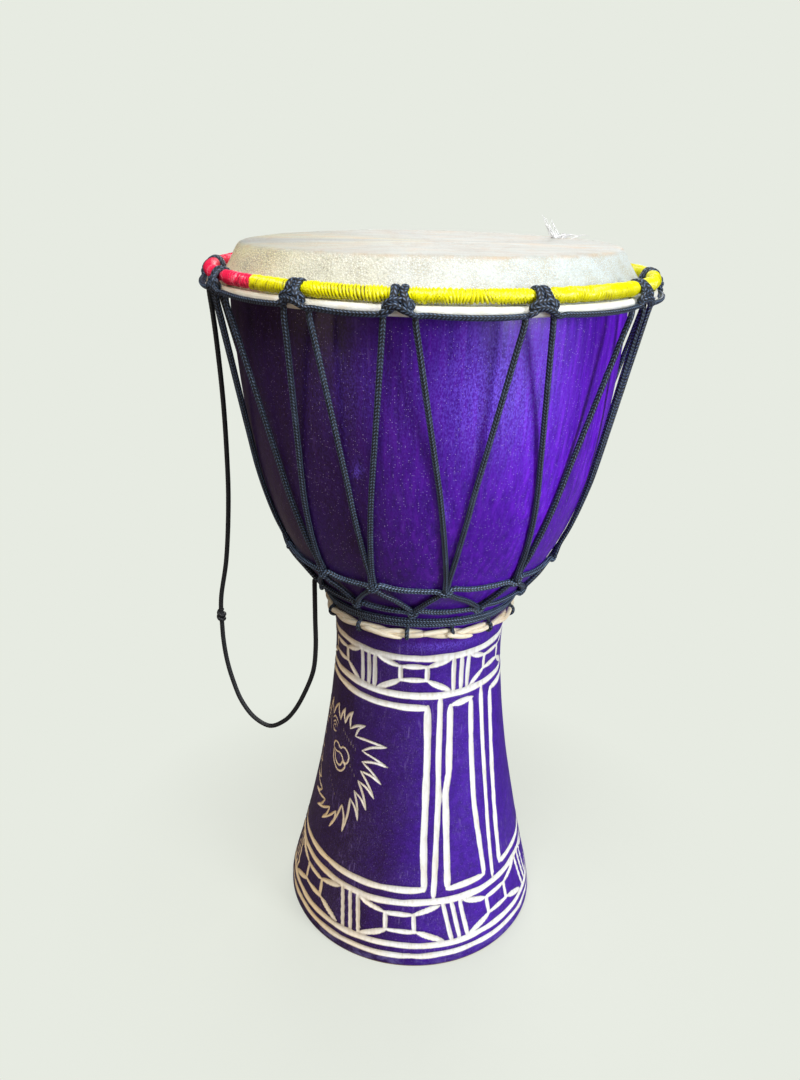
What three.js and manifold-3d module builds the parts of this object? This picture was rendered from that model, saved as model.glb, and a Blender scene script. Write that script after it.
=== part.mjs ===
// Rope-tuned goblet drum (djembe) with a goatskin head.
// Millimetres, +Z up. The origin is the centre of the foot's bottom face and the front faces -Y.
// Angles are in degrees about Z, zero at the front, growing towards +X.
import * as THREE from 'three';
import { mergeVertices } from 'three/addons/utils/BufferGeometryUtils.js';
import Module from 'manifold-3d';

const wasm = await Module();
wasm.setup();

// ---- driving dimensions ----
const HEIGHT = 600;          // foot to playing surface
const GAP = 0.35;            // clearance between touching pieces
const SEGMENTS = 36;         // facets round every turned piece
const ROPE_RADIUS = 2;       // 4 mm braided cord
const ROPE_SIDES = 6;
const RING_SIDES = 8;

const SKIN_THICKNESS = 1.2;
const CREASE = { r: 138.3, z: HEIGHT };             // where the skin turns over the bearing edge
const CROWN = { r: 161.9, z: 579.4, core: 2.7, wrapInner: 3.15, wrap: 4.15 };
const FLESH = { r: 161.2, z: 570.6, core: 2.4, skinInner: 2.95, skinOuter: 3.9 };
const RUN = { r: 168.0, z: 569 };                   // cord that runs below the flesh ring
const CANE = { r: 77.3, z: 310, radius: 3.5 };

// Outside of the carved shell, foot to rim: [height, radius].
const SHELL_OUTSIDE = [
  [0, 117], [12, 115.5], [45, 107.6], [94, 96.5], [158, 84.4], [223, 75.6], [270, 72],
  [296, 73], [309, 73.2], [320, 77.4], [337, 88.8], [361, 105.6], [401, 123.5], [450, 136.6], [506, 143.7],
  [555, 146.4], [582, 143.8], [592, 140], [596.6, 136.4], [598.3, 133.6],
];
// Inside: foot cavity, throat and bowl.
const SHELL_INSIDE = [
  [0, 103], [40, 94], [120, 77], [200, 61], [260, 54], [300, 54], [330, 66], [365, 88],
  [405, 107], [460, 120.5], [530, 129], [585, 130.5], [596, 131.2],
];
// Turned grooves on the stem and foot.
const GROOVES = [286.5, 251.5, 61, 21.5, 12];
const GROOVE_HALF_WIDTH = 2.4;
const GROOVE_DEPTH = 1.3;
// Hand-cut panel lines between the bands, the same on both sides: [angle, height] along each cut.
const PANEL_CUTS = [
  [[6, 241.5], [5.6, 72.5]], [[6, 241.5], [-123.5, 241.5]], [[5.6, 72.5], [-128.5, 72.5]],
  [[-123.5, 241.5], [-128.5, 72.5]], [[14.4, 247], [10.3, 65]], [[46.5, 247], [44.8, 65]],
  [[21.3, 241.5], [17.5, 72.5]], [[39.1, 241.5], [38.9, 72.5]], [[21.3, 241.5], [39.1, 241.5]],
  [[17.5, 72.5], [38.9, 72.5]],
];
const CUT_SIDES = 5;

// Hand-tied hitches round the crown, unevenly spaced at the front.
const KNOTS = [-91, -60, -31.1, -7.7, 22, 54.6, 86.7, 117, 147.5, 178, 208, 238.5];
// Where the V's cross, right of each hitch, and the corners of the diamonds, left of each crossing.
const CROSSINGS = [-75.5, -42.5, -19.4, 8.3, 38.3, 69.5, 101.9, 132.3, 162.8, 193, 223.3, 253.8];
const CORNERS = [-91, -58.5, -32.5, -4.2, 27.5, 58.5, 88, 119.5, 150, 180.5, 211, 241];
// Cord loops round the cane.
const LOOPS = [-95, -66, -37.9, -7.9, 17.8, 43.6, 73, 103, 133, 163, 196, 230];
const LEG_SPREAD = 3.4;      // lacing legs leave this far either side of a hitch
const LACING_TOP = { r: 163.4, z: 563.2 };
const TANGENT_Z = 450;       // below this height the lacing lies on the bowl
const LOW_BOWL_Z = 410;      // one more point on the bowl's tightest curve
const CROSSING_Z = 368;      // the V's cross here
const CORNER_Z = 341;        // and meet their neighbours here
const BOWL_CLEARANCE = 1.3;  // between the flat facets of bowl and rope
const OVER_STRANDS = 3 * ROPE_RADIUS + 2 * GAP + BOWL_CLEARANCE;
const ROWS = [
  { name: 'weave_row_upper', z: 368, distance: OVER_STRANDS },
  { name: 'weave_row_lower', z: 341, distance: OVER_STRANDS },
  { name: 'base_run_upper', z: 329.6, distance: ROPE_RADIUS + BOWL_CLEARANCE },
  { name: 'base_run_lower', z: 324.6, distance: ROPE_RADIUS + BOWL_CLEARANCE },
];

const WRAP_JOIN_LEFT = -44.5;  // red yarn gives way to yellow
const WRAP_JOIN_BACK = 135.5;  // half a turn on

// ---- materials ----
const paint = (color, roughness, metalness = 0) =>
  new THREE.MeshStandardMaterial({ color, roughness, metalness });
const MATERIALS = {
  shell: paint(0x4a18a8, 0.35),
  skin: paint(0xe6dcc6, 0.7),
  rope: paint(0x23282e, 0.85),
  yellow: paint(0xe0d018, 0.55),
  red: paint(0xd81f3c, 0.55),
  steel: paint(0x6d7075, 0.45, 1),
  cane: paint(0xcfb184, 0.65),
};

// ---- helpers ----
const radians = THREE.MathUtils.degToRad;

// Point at an angle, radius and height.
function at(angle, radius, z) {
  const a = radians(angle);
  return new THREE.Vector3(radius * Math.sin(a), -radius * Math.cos(a), z);
}

// Level arc about Z.
class RoundPath extends THREE.Curve {
  constructor(from, to, radius, z) {
    super();
    Object.assign(this, { from, to, radius, z });
  }

  getPoint(t) {
    return at(this.from + (this.to - this.from) * t, this.radius, this.z);
  }
}

// Monotone cubic through [height, radius] pairs.
function smoothRadius(table) {
  const slopes = table.slice(1).map(([z, r], i) => (r - table[i][1]) / (z - table[i][0]));
  const tangents = table.map((_, i) => {
    if (i === 0) return slopes[0];
    if (i === table.length - 1) return slopes[i - 1];
    const [before, after] = [slopes[i - 1], slopes[i]];
    return before * after <= 0 ? 0 : (2 * before * after) / (before + after);
  });
  return (z) => {
    let i = table.findIndex(([height]) => height >= z) - 1;
    if (i === -2) i = table.length - 2;
    i = Math.max(i, 0);
    const [z0, r0] = table[i];
    const [z1, r1] = table[i + 1];
    const span = z1 - z0;
    const t = (z - z0) / span;
    const u = 1 - t;
    return r0 * u * u * (1 + 2 * t) + r1 * t * t * (3 - 2 * t)
      + span * (tangents[i] * t * u * u - tangents[i + 1] * t * t * u);
  };
}
const outside = smoothRadius(SHELL_OUTSIDE);

// Point a given distance out from the shell's surface, along its normal.
function offShell(angle, z, distance) {
  const slope = (outside(z + 1) - outside(z - 1)) / 2;
  const length = Math.hypot(1, slope);
  return at(angle, outside(z) + distance / length, z - (distance * slope) / length);
}

// Revolves [radius, height] points about Z.
function turned(points, start = 0, sweep = 360, segments = SEGMENTS) {
  const profile = points.map(([r, z]) => new THREE.Vector2(r, z));
  const geometry = new THREE.LatheGeometry(profile, segments, radians(start), radians(sweep));
  return geometry.rotateX(Math.PI / 2);
}

// Points on a circle in the radius-height plane, counter-clockwise from one angle to another.
function arc(r, z, radius, from, to, steps) {
  return Array.from({ length: steps + 1 }, (_, i) => {
    const a = radians(from + ((to - from) * i) / steps);
    return [r + radius * Math.cos(a), z + radius * Math.sin(a)];
  });
}

// Closed ring section for a hoop.
const hoopSection = (r, z, radius, sides) => arc(r, z, radius, 0, 360, sides);

// Straight-sided tube through a list of points.
function tube(points, radius = ROPE_RADIUS, steps = points.length - 1, sides = ROPE_SIDES) {
  const section = new THREE.Shape(Array.from({ length: sides }, (_, i) => {
    const a = (i * 2 * Math.PI) / sides;
    return new THREE.Vector2(radius * Math.cos(a), radius * Math.sin(a));
  }));
  const path = new THREE.CatmullRomCurve3(points, false, 'centripetal');
  return new THREE.ExtrudeGeometry(section, { steps, bevelEnabled: false, extrudePath: path });
}

function toSolid(geometry) {
  const bare = geometry.clone();
  bare.deleteAttribute('normal');
  bare.deleteAttribute('uv');
  const merged = mergeVertices(bare, 1e-3);
  return new wasm.Manifold(new wasm.Mesh({
    numProp: 3,
    vertProperties: new Float32Array(merged.attributes.position.array),
    triVerts: new Uint32Array(merged.index.array),
  }));
}

function toGeometry(solid) {
  const mesh = solid.getMesh();
  const geometry = new THREE.BufferGeometry();
  geometry.setAttribute('position', new THREE.BufferAttribute(mesh.vertProperties, 3));
  geometry.setIndex(new THREE.BufferAttribute(mesh.triVerts, 1));
  return geometry;
}

const joinedSolid = (geometries) => geometries.map(toSolid).reduce((sum, next) => sum.add(next));
const joined = (geometries) => toGeometry(joinedSolid(geometries));

const model = new THREE.Group();

function addPiece(name, geometry, material) {
  const mesh = new THREE.Mesh(geometry, material);
  mesh.name = name;
  model.add(mesh);
  return mesh;
}

const numbered = (stem, index) => `${stem}_${String(index + 1).padStart(2, '0')}`;

// ---- shell: one carved piece, bowl above stem above foot ----
function shellGeometry() {
  const grooveEdges = GROOVES.flatMap((z) => [z - GROOVE_HALF_WIDTH, z, z + GROOVE_HALF_WIDTH]);
  const plainHeights = SHELL_OUTSIDE.map(([z]) => z)
    .filter((z) => GROOVES.every((groove) => Math.abs(z - groove) > 2 * GROOVE_HALF_WIDTH));
  const outer = [...plainHeights, ...grooveEdges].sort((a, b) => a - b)
    .map((z) => [outside(z) - (GROOVES.includes(z) ? GROOVE_DEPTH : 0), z]);
  const inner = SHELL_INSIDE.map(([z, r]) => [r, z]).reverse();
  const plain = turned([...outer, ...inner, outer[0]]);
  const cutters = [0, 180].flatMap((turn) => PANEL_CUTS.map((ends) => cutterGeometry(ends, turn)));
  return toGeometry(toSolid(plain).subtract(joinedSolid(cutters)));
}

// Tube along the shell's surface, sunk in it by the groove's depth.
function cutterGeometry([[fromAngle, fromZ], [toAngle, toZ]], turn) {
  const sweep = Math.abs(toAngle - fromAngle);
  const steps = Math.max(Math.round(sweep / 10), Math.round(Math.abs(toZ - fromZ) / 45));
  const points = Array.from({ length: steps + 1 }, (_, i) => {
    const z = fromZ + ((toZ - fromZ) * i) / steps;
    const angle = turn + fromAngle + ((toAngle - fromAngle) * i) / steps;
    return offShell(angle, z, GROOVE_HALF_WIDTH - GROOVE_DEPTH);
  });
  return tube(points, GROOVE_HALF_WIDTH, steps, CUT_SIDES);
}

// ---- drumhead: flat skin, sloping collar, and the fold round the flesh ring ----
function drumheadGeometry() {
  const bottom = HEIGHT - SKIN_THICKNESS;
  const fold = 214;          // the collar meets the flesh ring here
  const foldEnd = 415;       // the trimmed edge, under the crown ring
  const top = [[0, bottom], [CREASE.r - 5, bottom], [CREASE.r - 1.6, bottom - 0.9]];
  const underside = arc(FLESH.r, FLESH.z, FLESH.skinOuter, fold, foldEnd, 5);
  const upper = arc(FLESH.r, FLESH.z, FLESH.skinInner, fold, foldEnd, 5).reverse();
  const crease = [[CREASE.r + 1, CREASE.z - 2.4], [CREASE.r - 0.6, CREASE.z - 0.4]];
  return turned([...top, ...underside, ...upper, ...crease, [CREASE.r - 3.5, HEIGHT], [0, HEIGHT]]);
}

// ---- yarn wrapped round part of the crown ring ----
function wrapGeometry(from, to) {
  const ringOfPoints = (radius) => hoopSection(0, 0, radius, RING_SIDES)
    .map(([x, y]) => new THREE.Vector2(x, y));
  const section = new THREE.Shape(ringOfPoints(CROWN.wrap));
  section.holes.push(new THREE.Path(ringOfPoints(CROWN.wrapInner)));
  const endGap = THREE.MathUtils.radToDeg(GAP / 2 / CROWN.r);
  const path = new RoundPath(from + endGap, to - endGap, CROWN.r, CROWN.z);
  const steps = Math.round((SEGMENTS * (to - from)) / 360);
  return new THREE.ExtrudeGeometry(section, { steps, bevelEnabled: false, extrudePath: path });
}

// ---- hitch over the crown ring, and the cord that runs on to the next hitch ----
const HITCH_WIDTH = 4.2 * ROPE_RADIUS;   // two strands side by side
const HITCH_FRONT = -62;                 // the band's ends, round the ring's section
const HITCH_BACK = 182;
// The tail leaves the hitch low on its right: [degrees past the hitch, radius, height].
const HITCH_TAIL = [[-1.9, 168.4, 574], [1.2, 169, 573.2], [2.9, 168.8, 570.6]];
const RUN_START = 4.4;                   // degrees past this hitch
const RUN_END = 3.2;                     // degrees short of the next one

function crownHitchGeometry(angle, nextAngle) {
  const innerRadius = CROWN.wrap + 2 * GAP;
  const loop = [
    ...arc(CROWN.r, CROWN.z, innerRadius, HITCH_FRONT, HITCH_BACK, 7),
    ...arc(CROWN.r, CROWN.z, innerRadius + 2 * ROPE_RADIUS, HITCH_BACK, HITCH_FRONT, 7),
  ];
  const band = new THREE.ExtrudeGeometry(
    new THREE.Shape(loop.map(([r, z]) => new THREE.Vector2(r, z))),
    { depth: HITCH_WIDTH, bevelEnabled: false },
  );
  band.translate(0, 0, -HITCH_WIDTH / 2).rotateX(Math.PI / 2).rotateZ(radians(angle - 90));
  const firstRun = angle + RUN_START;
  const lastRun = nextAngle - RUN_END;
  const run = [0, 1, 2].map((i) => at(firstRun + ((lastRun - firstRun) * i) / 2, RUN.r, RUN.z));
  const tail = HITCH_TAIL.map(([turn, r, z]) => at(angle + turn, r, z));
  return joined([band, tube([...tail, ...run])]);
}

// ---- lacing rope: twelve V's from the crown, crossing at the waist to make diamonds ----
const onBowl = (angle, z) => offShell(angle, z, ROPE_RADIUS + BOWL_CLEARANCE);

// Straight from the crown to the bowl, along it to the crossing, and on to the diamond's corner.
function strandGeometry(topAngle, crossingAngle, cornerAngle) {
  const total = LACING_TOP.z - CROSSING_Z;
  const angleAt = (z) => topAngle + ((crossingAngle - topAngle) * (LACING_TOP.z - z)) / total;
  const top = at(topAngle, LACING_TOP.r, LACING_TOP.z);
  const touching = onBowl(angleAt(TANGENT_Z), TANGENT_Z);
  const halfway = onBowl((crossingAngle + cornerAngle) / 2, (CROSSING_Z + CORNER_Z) / 2);
  return tube([
    top, top.clone().lerp(touching, 0.5), touching, onBowl(angleAt(LOW_BOWL_Z), LOW_BOWL_Z),
    onBowl(crossingAngle, CROSSING_Z), halfway, onBowl(cornerAngle, CORNER_Z),
  ]);
}

function lacingGeometry() {
  const pieces = [];
  const after = (angles, i) => (i + 1 < angles.length ? angles[i + 1] : angles[0] + 360);
  KNOTS.forEach((knot, i) => {
    pieces.push(
      tube([-1, 1].map((side) => at(knot + side * LEG_SPREAD, LACING_TOP.r, LACING_TOP.z))),
      strandGeometry(knot + LEG_SPREAD, CROSSINGS[i], after(CORNERS, i)),
      strandGeometry(after(KNOTS, i) - LEG_SPREAD, CROSSINGS[i], CORNERS[i]),
    );
  });
  return joined(pieces);
}

// A level run of the rope, lying over the crossings or straight on the bowl.
function rowGeometry(z, distance) {
  const centre = offShell(0, z, distance);
  return turned(hoopSection(-centre.y, centre.z, ROPE_RADIUS, ROPE_SIDES));
}

// ---- cane hoop round the waist, and the cord loops that tie the lacing to it ----
const LOOP_BOTTOM = -105;    // the loop's ends, round the cane's section
const LOOP_TOP = 32;

function baseLoopGeometry(angle) {
  const centre = CANE.radius + GAP + ROPE_RADIUS;
  return tube(arc(CANE.r, CANE.z, centre, LOOP_BOTTOM, LOOP_TOP, 3).map(([r, z]) => at(angle, r, z)));
}

// ---- carry cord: a slack loop tied at the crown and at the waist, with one knot on it ----
const CORD_SIDES = 8;
const CORD_STEPS = 48;
const CORD_ROUTE = [
  [-168.6, 4.2, 569.4], [-168.2, 3.6, 560], [-166, 1.6, 543], [-164, 1, 519], [-161.6, 0.2, 476],
  [-161, 0, 432], [-162, 0.4, 390], [-167, 2, 336], [-173.4, 4, 302], [-174.6, 4.3, 290],
  [-174.6, 4.3, 272], [-174.2, 4.2, 256], [-172, 3.5, 236], [-167.4, 2, 216], [-160, -0.3, 195.5],
  [-148, -4, 180], [-133.6, -8.5, 174.6], [-119, -13, 184], [-109, -16.2, 198], [-98.4, -19.5, 221],
  [-91.2, -21.8, 243], [-88.8, -22.4, 266], [-88.8, -22.5, 295], [-88.8, -22.6, 332.2],
];
const CORD_KNOT = { x: -174.6, y: 4.3, z: 281, radius: 4.6, length: 10 };

function carryCordGeometry() {
  const points = CORD_ROUTE.map(([x, y, z]) => new THREE.Vector3(x, y, z));
  return tube(points, ROPE_RADIUS, CORD_STEPS, CORD_SIDES);
}

// A rounded sleeve: the cord passes through the knot.
function cordKnotGeometry() {
  const { radius, length } = CORD_KNOT;
  const hole = ROPE_RADIUS + GAP;
  const profile = [
    [hole, -length / 2], [radius - 0.8, -length / 2], [radius, -length / 4],
    [radius, length / 4], [radius - 0.8, length / 2], [hole, length / 2], [hole, -length / 2],
  ];
  return turned(profile, 0, 360, 10);
}

addPiece('shell', shellGeometry(), MATERIALS.shell);
addPiece('drumhead', drumheadGeometry(), MATERIALS.skin);
addPiece('flesh_ring', turned(hoopSection(FLESH.r, FLESH.z, FLESH.core, ROPE_SIDES)), MATERIALS.steel);
addPiece('crown_ring', turned(hoopSection(CROWN.r, CROWN.z, CROWN.core, RING_SIDES), WRAP_JOIN_LEFT),
  MATERIALS.steel);
addPiece('crown_wrap_yellow', wrapGeometry(WRAP_JOIN_LEFT, WRAP_JOIN_BACK), MATERIALS.yellow);
addPiece('crown_wrap_red', wrapGeometry(WRAP_JOIN_BACK, WRAP_JOIN_LEFT + 360), MATERIALS.red);
KNOTS.forEach((angle, i) => {
  const next = i + 1 < KNOTS.length ? KNOTS[i + 1] : KNOTS[0] + 360;
  addPiece(numbered('crown_hitch', i), crownHitchGeometry(angle, next), MATERIALS.rope);
});
addPiece('lacing_rope', lacingGeometry(), MATERIALS.rope);
ROWS.forEach(({ name, z, distance }) => addPiece(name, rowGeometry(z, distance), MATERIALS.rope));
addPiece('base_ring', turned(hoopSection(CANE.r, CANE.z, CANE.radius, RING_SIDES)), MATERIALS.cane);
LOOPS.forEach((angle, i) => addPiece(numbered('base_loop', i), baseLoopGeometry(angle), MATERIALS.rope));
addPiece('carry_cord', carryCordGeometry(), MATERIALS.rope);
addPiece('carry_cord_knot', cordKnotGeometry(), MATERIALS.rope)
  .position.set(CORD_KNOT.x, CORD_KNOT.y, CORD_KNOT.z);

export default model;
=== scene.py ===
"""Rope-tuned goblet drum (djembe): the looks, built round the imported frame.

Lengths in the tables and formulas are millimetres, turned into metres by MM where meshes are made.
Angles are degrees about Z, zero at the front (-Y) and growing towards +X.
"""
import math

import bmesh
import bpy
import numpy as np
from mathutils import Matrix, Vector


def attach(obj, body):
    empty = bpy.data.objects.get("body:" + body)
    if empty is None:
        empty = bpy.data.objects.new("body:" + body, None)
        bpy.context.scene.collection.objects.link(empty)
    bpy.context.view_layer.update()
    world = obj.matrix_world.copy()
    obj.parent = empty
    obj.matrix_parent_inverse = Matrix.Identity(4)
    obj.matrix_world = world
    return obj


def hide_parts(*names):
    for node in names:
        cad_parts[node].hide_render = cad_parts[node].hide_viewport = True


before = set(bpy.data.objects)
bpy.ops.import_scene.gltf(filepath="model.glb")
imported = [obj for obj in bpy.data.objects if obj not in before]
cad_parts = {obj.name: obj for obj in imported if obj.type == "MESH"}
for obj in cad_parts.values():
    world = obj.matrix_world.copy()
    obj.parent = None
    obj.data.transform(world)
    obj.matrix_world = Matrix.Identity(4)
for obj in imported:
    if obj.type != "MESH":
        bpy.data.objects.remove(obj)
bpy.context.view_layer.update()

MM = 0.001
RANDOM = np.random.default_rng(7)

# ---- the frame's dimensions, repeated except where a line says otherwise ----
ROPE_RADIUS = 2.0
ROPE_LIFT = ROPE_RADIUS + 0.15  # from the bowl to the centre of a rope lying on it
KNOTS = [-91, -60, -31.1, -7.7, 22, 54.6, 86.7, 117, 147.5, 178, 208, 238.5]
CROSSINGS = [-75.5, -42.5, -19.4, 8.3, 38.3, 69.5, 101.9, 132.3, 162.8, 193, 223.3, 253.8]
CORNERS = [-91, -58.5, -32.5, -4.2, 27.5, 58.5, 88, 119.5, 150, 180.5, 211, 241]
LOOPS = [-95, -66, -37.9, -7.9, 17.8, 43.6, 73, 103, 133, 163, 196, 230]
CROWN_R, CROWN_Z, CROWN_WRAP = 161.9, 579.4, 4.15
FLESH_R, FLESH_Z = 161.2, 570.6
RUN_R, RUN_Z = 168.0, 569.0
WRAP_JOINS = (-44.5, 135.5)
LEG_SPREAD = 3.4
LACING_TOP = (163.4, 563.2)
TANGENT_Z = 450
CROSSING_Z = 367                # 1 mm below the frame's
CORNER_Z = 341
BASE_RUNS_Z = (328.2, 322.8)    # 1.4 and 1.8 mm below the frame's
CANE_R, CANE_Z, CANE_RADIUS = 77.3, 310.0, 3.5

SHELL_OUTSIDE = np.array([
    [0, 117], [12, 115.5], [45, 107.6], [94, 96.5], [158, 84.4], [223, 75.6], [270, 72],
    [296, 73], [309, 73.2], [320, 77.4], [337, 88.8], [361, 105.6], [401, 123.5], [450, 136.6], [506, 143.7],
    [555, 146.4], [582, 143.8], [592, 140], [596.6, 136.4], [598.3, 133.6]])
SHELL_INSIDE = np.array([
    [0, 103], [40, 94], [120, 77], [200, 61], [260, 54], [300, 54], [330, 66], [365, 88],
    [405, 107], [460, 120.5], [530, 129], [585, 130.5], [596, 131.2]])


# ---- geometry helpers ----
def smooth_radius(table):
    """Monotone cubic through [height, radius] pairs, the same one that the frame's shell follows."""
    z, r = table[:, 0], table[:, 1]
    slopes = np.diff(r) / np.diff(z)
    before, after = slopes[:-1], slopes[1:]
    product = before * after
    total = np.where(before + after == 0, 1, before + after)
    inner = np.where(product <= 0, 0, 2 * product / total)
    tangents = np.concatenate([slopes[:1], inner, slopes[-1:]])

    def radius(height):
        height = np.asarray(height, float)
        i = np.clip(np.searchsorted(z, height) - 1, 0, len(z) - 2)
        span = z[i + 1] - z[i]
        t = np.clip((height - z[i]) / span, 0, 1)
        u = 1 - t
        return (r[i] * u * u * (1 + 2 * t) + r[i + 1] * t * t * (3 - 2 * t)
                + span * (tangents[i] * t * u * u - tangents[i + 1] * t * t * u))
    return radius


outside = smooth_radius(SHELL_OUTSIDE)
inside = smooth_radius(SHELL_INSIDE)


def polar(angle, radius, z):
    """Points from angles in degrees, radii and heights, stacked on a last axis of three."""
    a = np.radians(angle)
    return np.stack(np.broadcast_arrays(radius * np.sin(a), -radius * np.cos(a), z), -1).astype(float)


def off_shell(angle, z, distance):
    """Point that far out from the shell's outer surface, along its normal."""
    slope = (outside(z + 1) - outside(z - 1)) / 2
    length = np.hypot(1, slope)
    return polar(angle, outside(z) + distance / length, z - distance * slope / length)


def signed(angle):
    """The same angle between -180 and 180 degrees."""
    return (angle + 180) % 360 - 180


def leftness(angle):
    """1 straight to the left, falling to 0 at the front and the back."""
    return np.clip(-np.sin(np.radians(angle)), 0, 1)


def after(angles, i):
    """The next angle round, one turn on for the last."""
    return angles[i + 1] if i + 1 < len(angles) else angles[0] + 360


def lengths_along(points):
    """Length along a line of points, up to each of them."""
    return np.concatenate([[0], np.cumsum(np.linalg.norm(np.diff(points, axis=0), axis=1))])


def smooth_noise(x, seed, octaves=3):
    """Sum of sines with seeded phases: a smooth wobble of about unit size, periodic over 2 pi."""
    rng = np.random.default_rng(seed)
    x = np.asarray(x, float)
    total = np.zeros_like(x)
    for octave in range(octaves):
        for _ in range(3):
            frequency = rng.integers(2 ** octave, 3 * 2 ** octave + 1)
            total += np.sin(frequency * x + rng.uniform(0, 2 * math.pi)) / (1 + octave)
    return total / (1.6 * octaves)


def set_attribute(mesh, name, values):
    layer = mesh.attributes.new(name, "FLOAT", "POINT")
    layer.data.foreach_set("value", np.asarray(values, np.float32).ravel())


def make_object(name, points, faces, material, attributes=None, uv=None, smooth=True):
    """Mesh object from points in mm and faces, with float attributes per point and UVs per face corner."""
    mesh = bpy.data.meshes.new(name)
    points = np.asarray(points, float).reshape(-1, 3) * MM
    mesh.vertices.add(len(points))
    mesh.vertices.foreach_set("co", points.ravel())
    lengths = np.array([len(face) for face in faces])
    corners = np.concatenate(faces)
    mesh.loops.add(len(corners))
    mesh.loops.foreach_set("vertex_index", corners.astype(np.int32))
    mesh.polygons.add(len(lengths))
    mesh.polygons.foreach_set("loop_start", (np.cumsum(lengths) - lengths).astype(np.int32))
    mesh.update(calc_edges=True)
    mesh.polygons.foreach_set("use_smooth", np.full(len(lengths), smooth))
    for key, values in (attributes or {}).items():
        set_attribute(mesh, key, values)
    if uv is not None:
        mesh.uv_layers.new(name="UVMap").data.foreach_set("uv", np.asarray(uv, np.float32).ravel())
    mesh.validate()
    mesh.materials.append(material)
    obj = bpy.data.objects.new(name, mesh)
    bpy.context.scene.collection.objects.link(obj)
    return obj


def grid_faces(rows, columns, wrap_rows=False):
    """Quads of a grid of points whose rows run all the way round."""
    index = np.arange(rows * columns).reshape(rows, columns)
    low = index if wrap_rows else index[:-1]
    high = np.roll(index, -1, 0) if wrap_rows else index[1:]
    return np.stack([low, np.roll(low, -1, 1), np.roll(high, -1, 1), high], -1).reshape(-1, 4)


def tube_faces(rows, columns, start=0):
    """The quads round a tube and one face over each of its ends."""
    ends = [np.arange(columns)[::-1], (rows - 1) * columns + np.arange(columns)]
    return [tuple(start + face) for face in (*grid_faces(rows, columns), *ends)]


def catmull_rom(points, step):
    """Centripetal curve through the points, resampled at an even step."""
    p = np.asarray(points, float)
    p = np.vstack([2 * p[0] - p[1], p, 2 * p[-1] - p[-2]])
    pieces = []
    for p0, p1, p2, p3 in zip(p[:-3], p[1:-2], p[2:-1], p[3:]):
        spans = [max(np.linalg.norm(b - a), 1e-6) ** 0.5 for a, b in ((p0, p1), (p1, p2), (p2, p3))]
        t0, t1, t2, t3 = np.cumsum([0] + spans)
        t = np.linspace(t1, t2, 13)[:-1, None]
        a1 = (t1 - t) / (t1 - t0) * p0 + (t - t0) / (t1 - t0) * p1
        a2 = (t2 - t) / (t2 - t1) * p1 + (t - t1) / (t2 - t1) * p2
        a3 = (t3 - t) / (t3 - t2) * p2 + (t - t2) / (t3 - t2) * p3
        b1 = (t2 - t) / (t2 - t0) * a1 + (t - t0) / (t2 - t0) * a2
        b2 = (t3 - t) / (t3 - t1) * a2 + (t - t1) / (t3 - t1) * a3
        pieces.append((t2 - t) / (t2 - t1) * b1 + (t - t1) / (t2 - t1) * b2)
    dense = np.vstack(pieces + [p[-2][None]])
    along = lengths_along(dense)
    count = max(2, int(round(along[-1] / step)))
    even = np.linspace(0, along[-1], count + 1)
    return np.stack([np.interp(even, along, dense[:, i]) for i in range(3)], -1)


def frames_along(path):
    """Two normals along a path, carried without twist."""
    tangents = np.gradient(path, axis=0)
    tangents /= np.linalg.norm(tangents, axis=1, keepdims=True)
    normal = np.cross(tangents[0], [0.3, 0.2, 0.93])
    normals = np.empty_like(path)
    for i, tangent in enumerate(tangents):
        normal = normal - tangent * (normal @ tangent)
        normal /= np.linalg.norm(normal)
        normals[i] = normal
    return normals, np.cross(tangents, normals)


# ---- shader helpers ----
def srgb(red, green, blue):
    """Linear colour from 0-255 display values."""
    def linear(value):
        value /= 255
        return value / 12.92 if value <= 0.04045 else ((value + 0.055) / 1.055) ** 2.4
    return (linear(red), linear(green), linear(blue), 1)


class Value:
    """A node's output with arithmetic: every sign adds one Math node."""

    def __init__(self, shader, socket):
        self.shader, self.socket = shader, socket

    def math(self, operation, other=0.0):
        return self.shader.node("Math", {0: self, 1: other}, operation=operation)

    def __add__(self, other):
        return self.math("ADD", other)

    def __sub__(self, other):
        return self.math("SUBTRACT", other)

    def __rsub__(self, other):
        return self.shader.node("Math", {0: other, 1: self}, operation="SUBTRACT")

    def __mul__(self, other):
        return self.math("MULTIPLY", other)

    def __truediv__(self, other):
        return self.math("DIVIDE", other)

    def __pow__(self, other):
        return self.math("POWER", other)

    def __abs__(self):
        return self.math("ABSOLUTE")

    def wave(self):
        """Sine that turns over once for every whole number."""
        return (self * math.pi).math("SINE")


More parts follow.
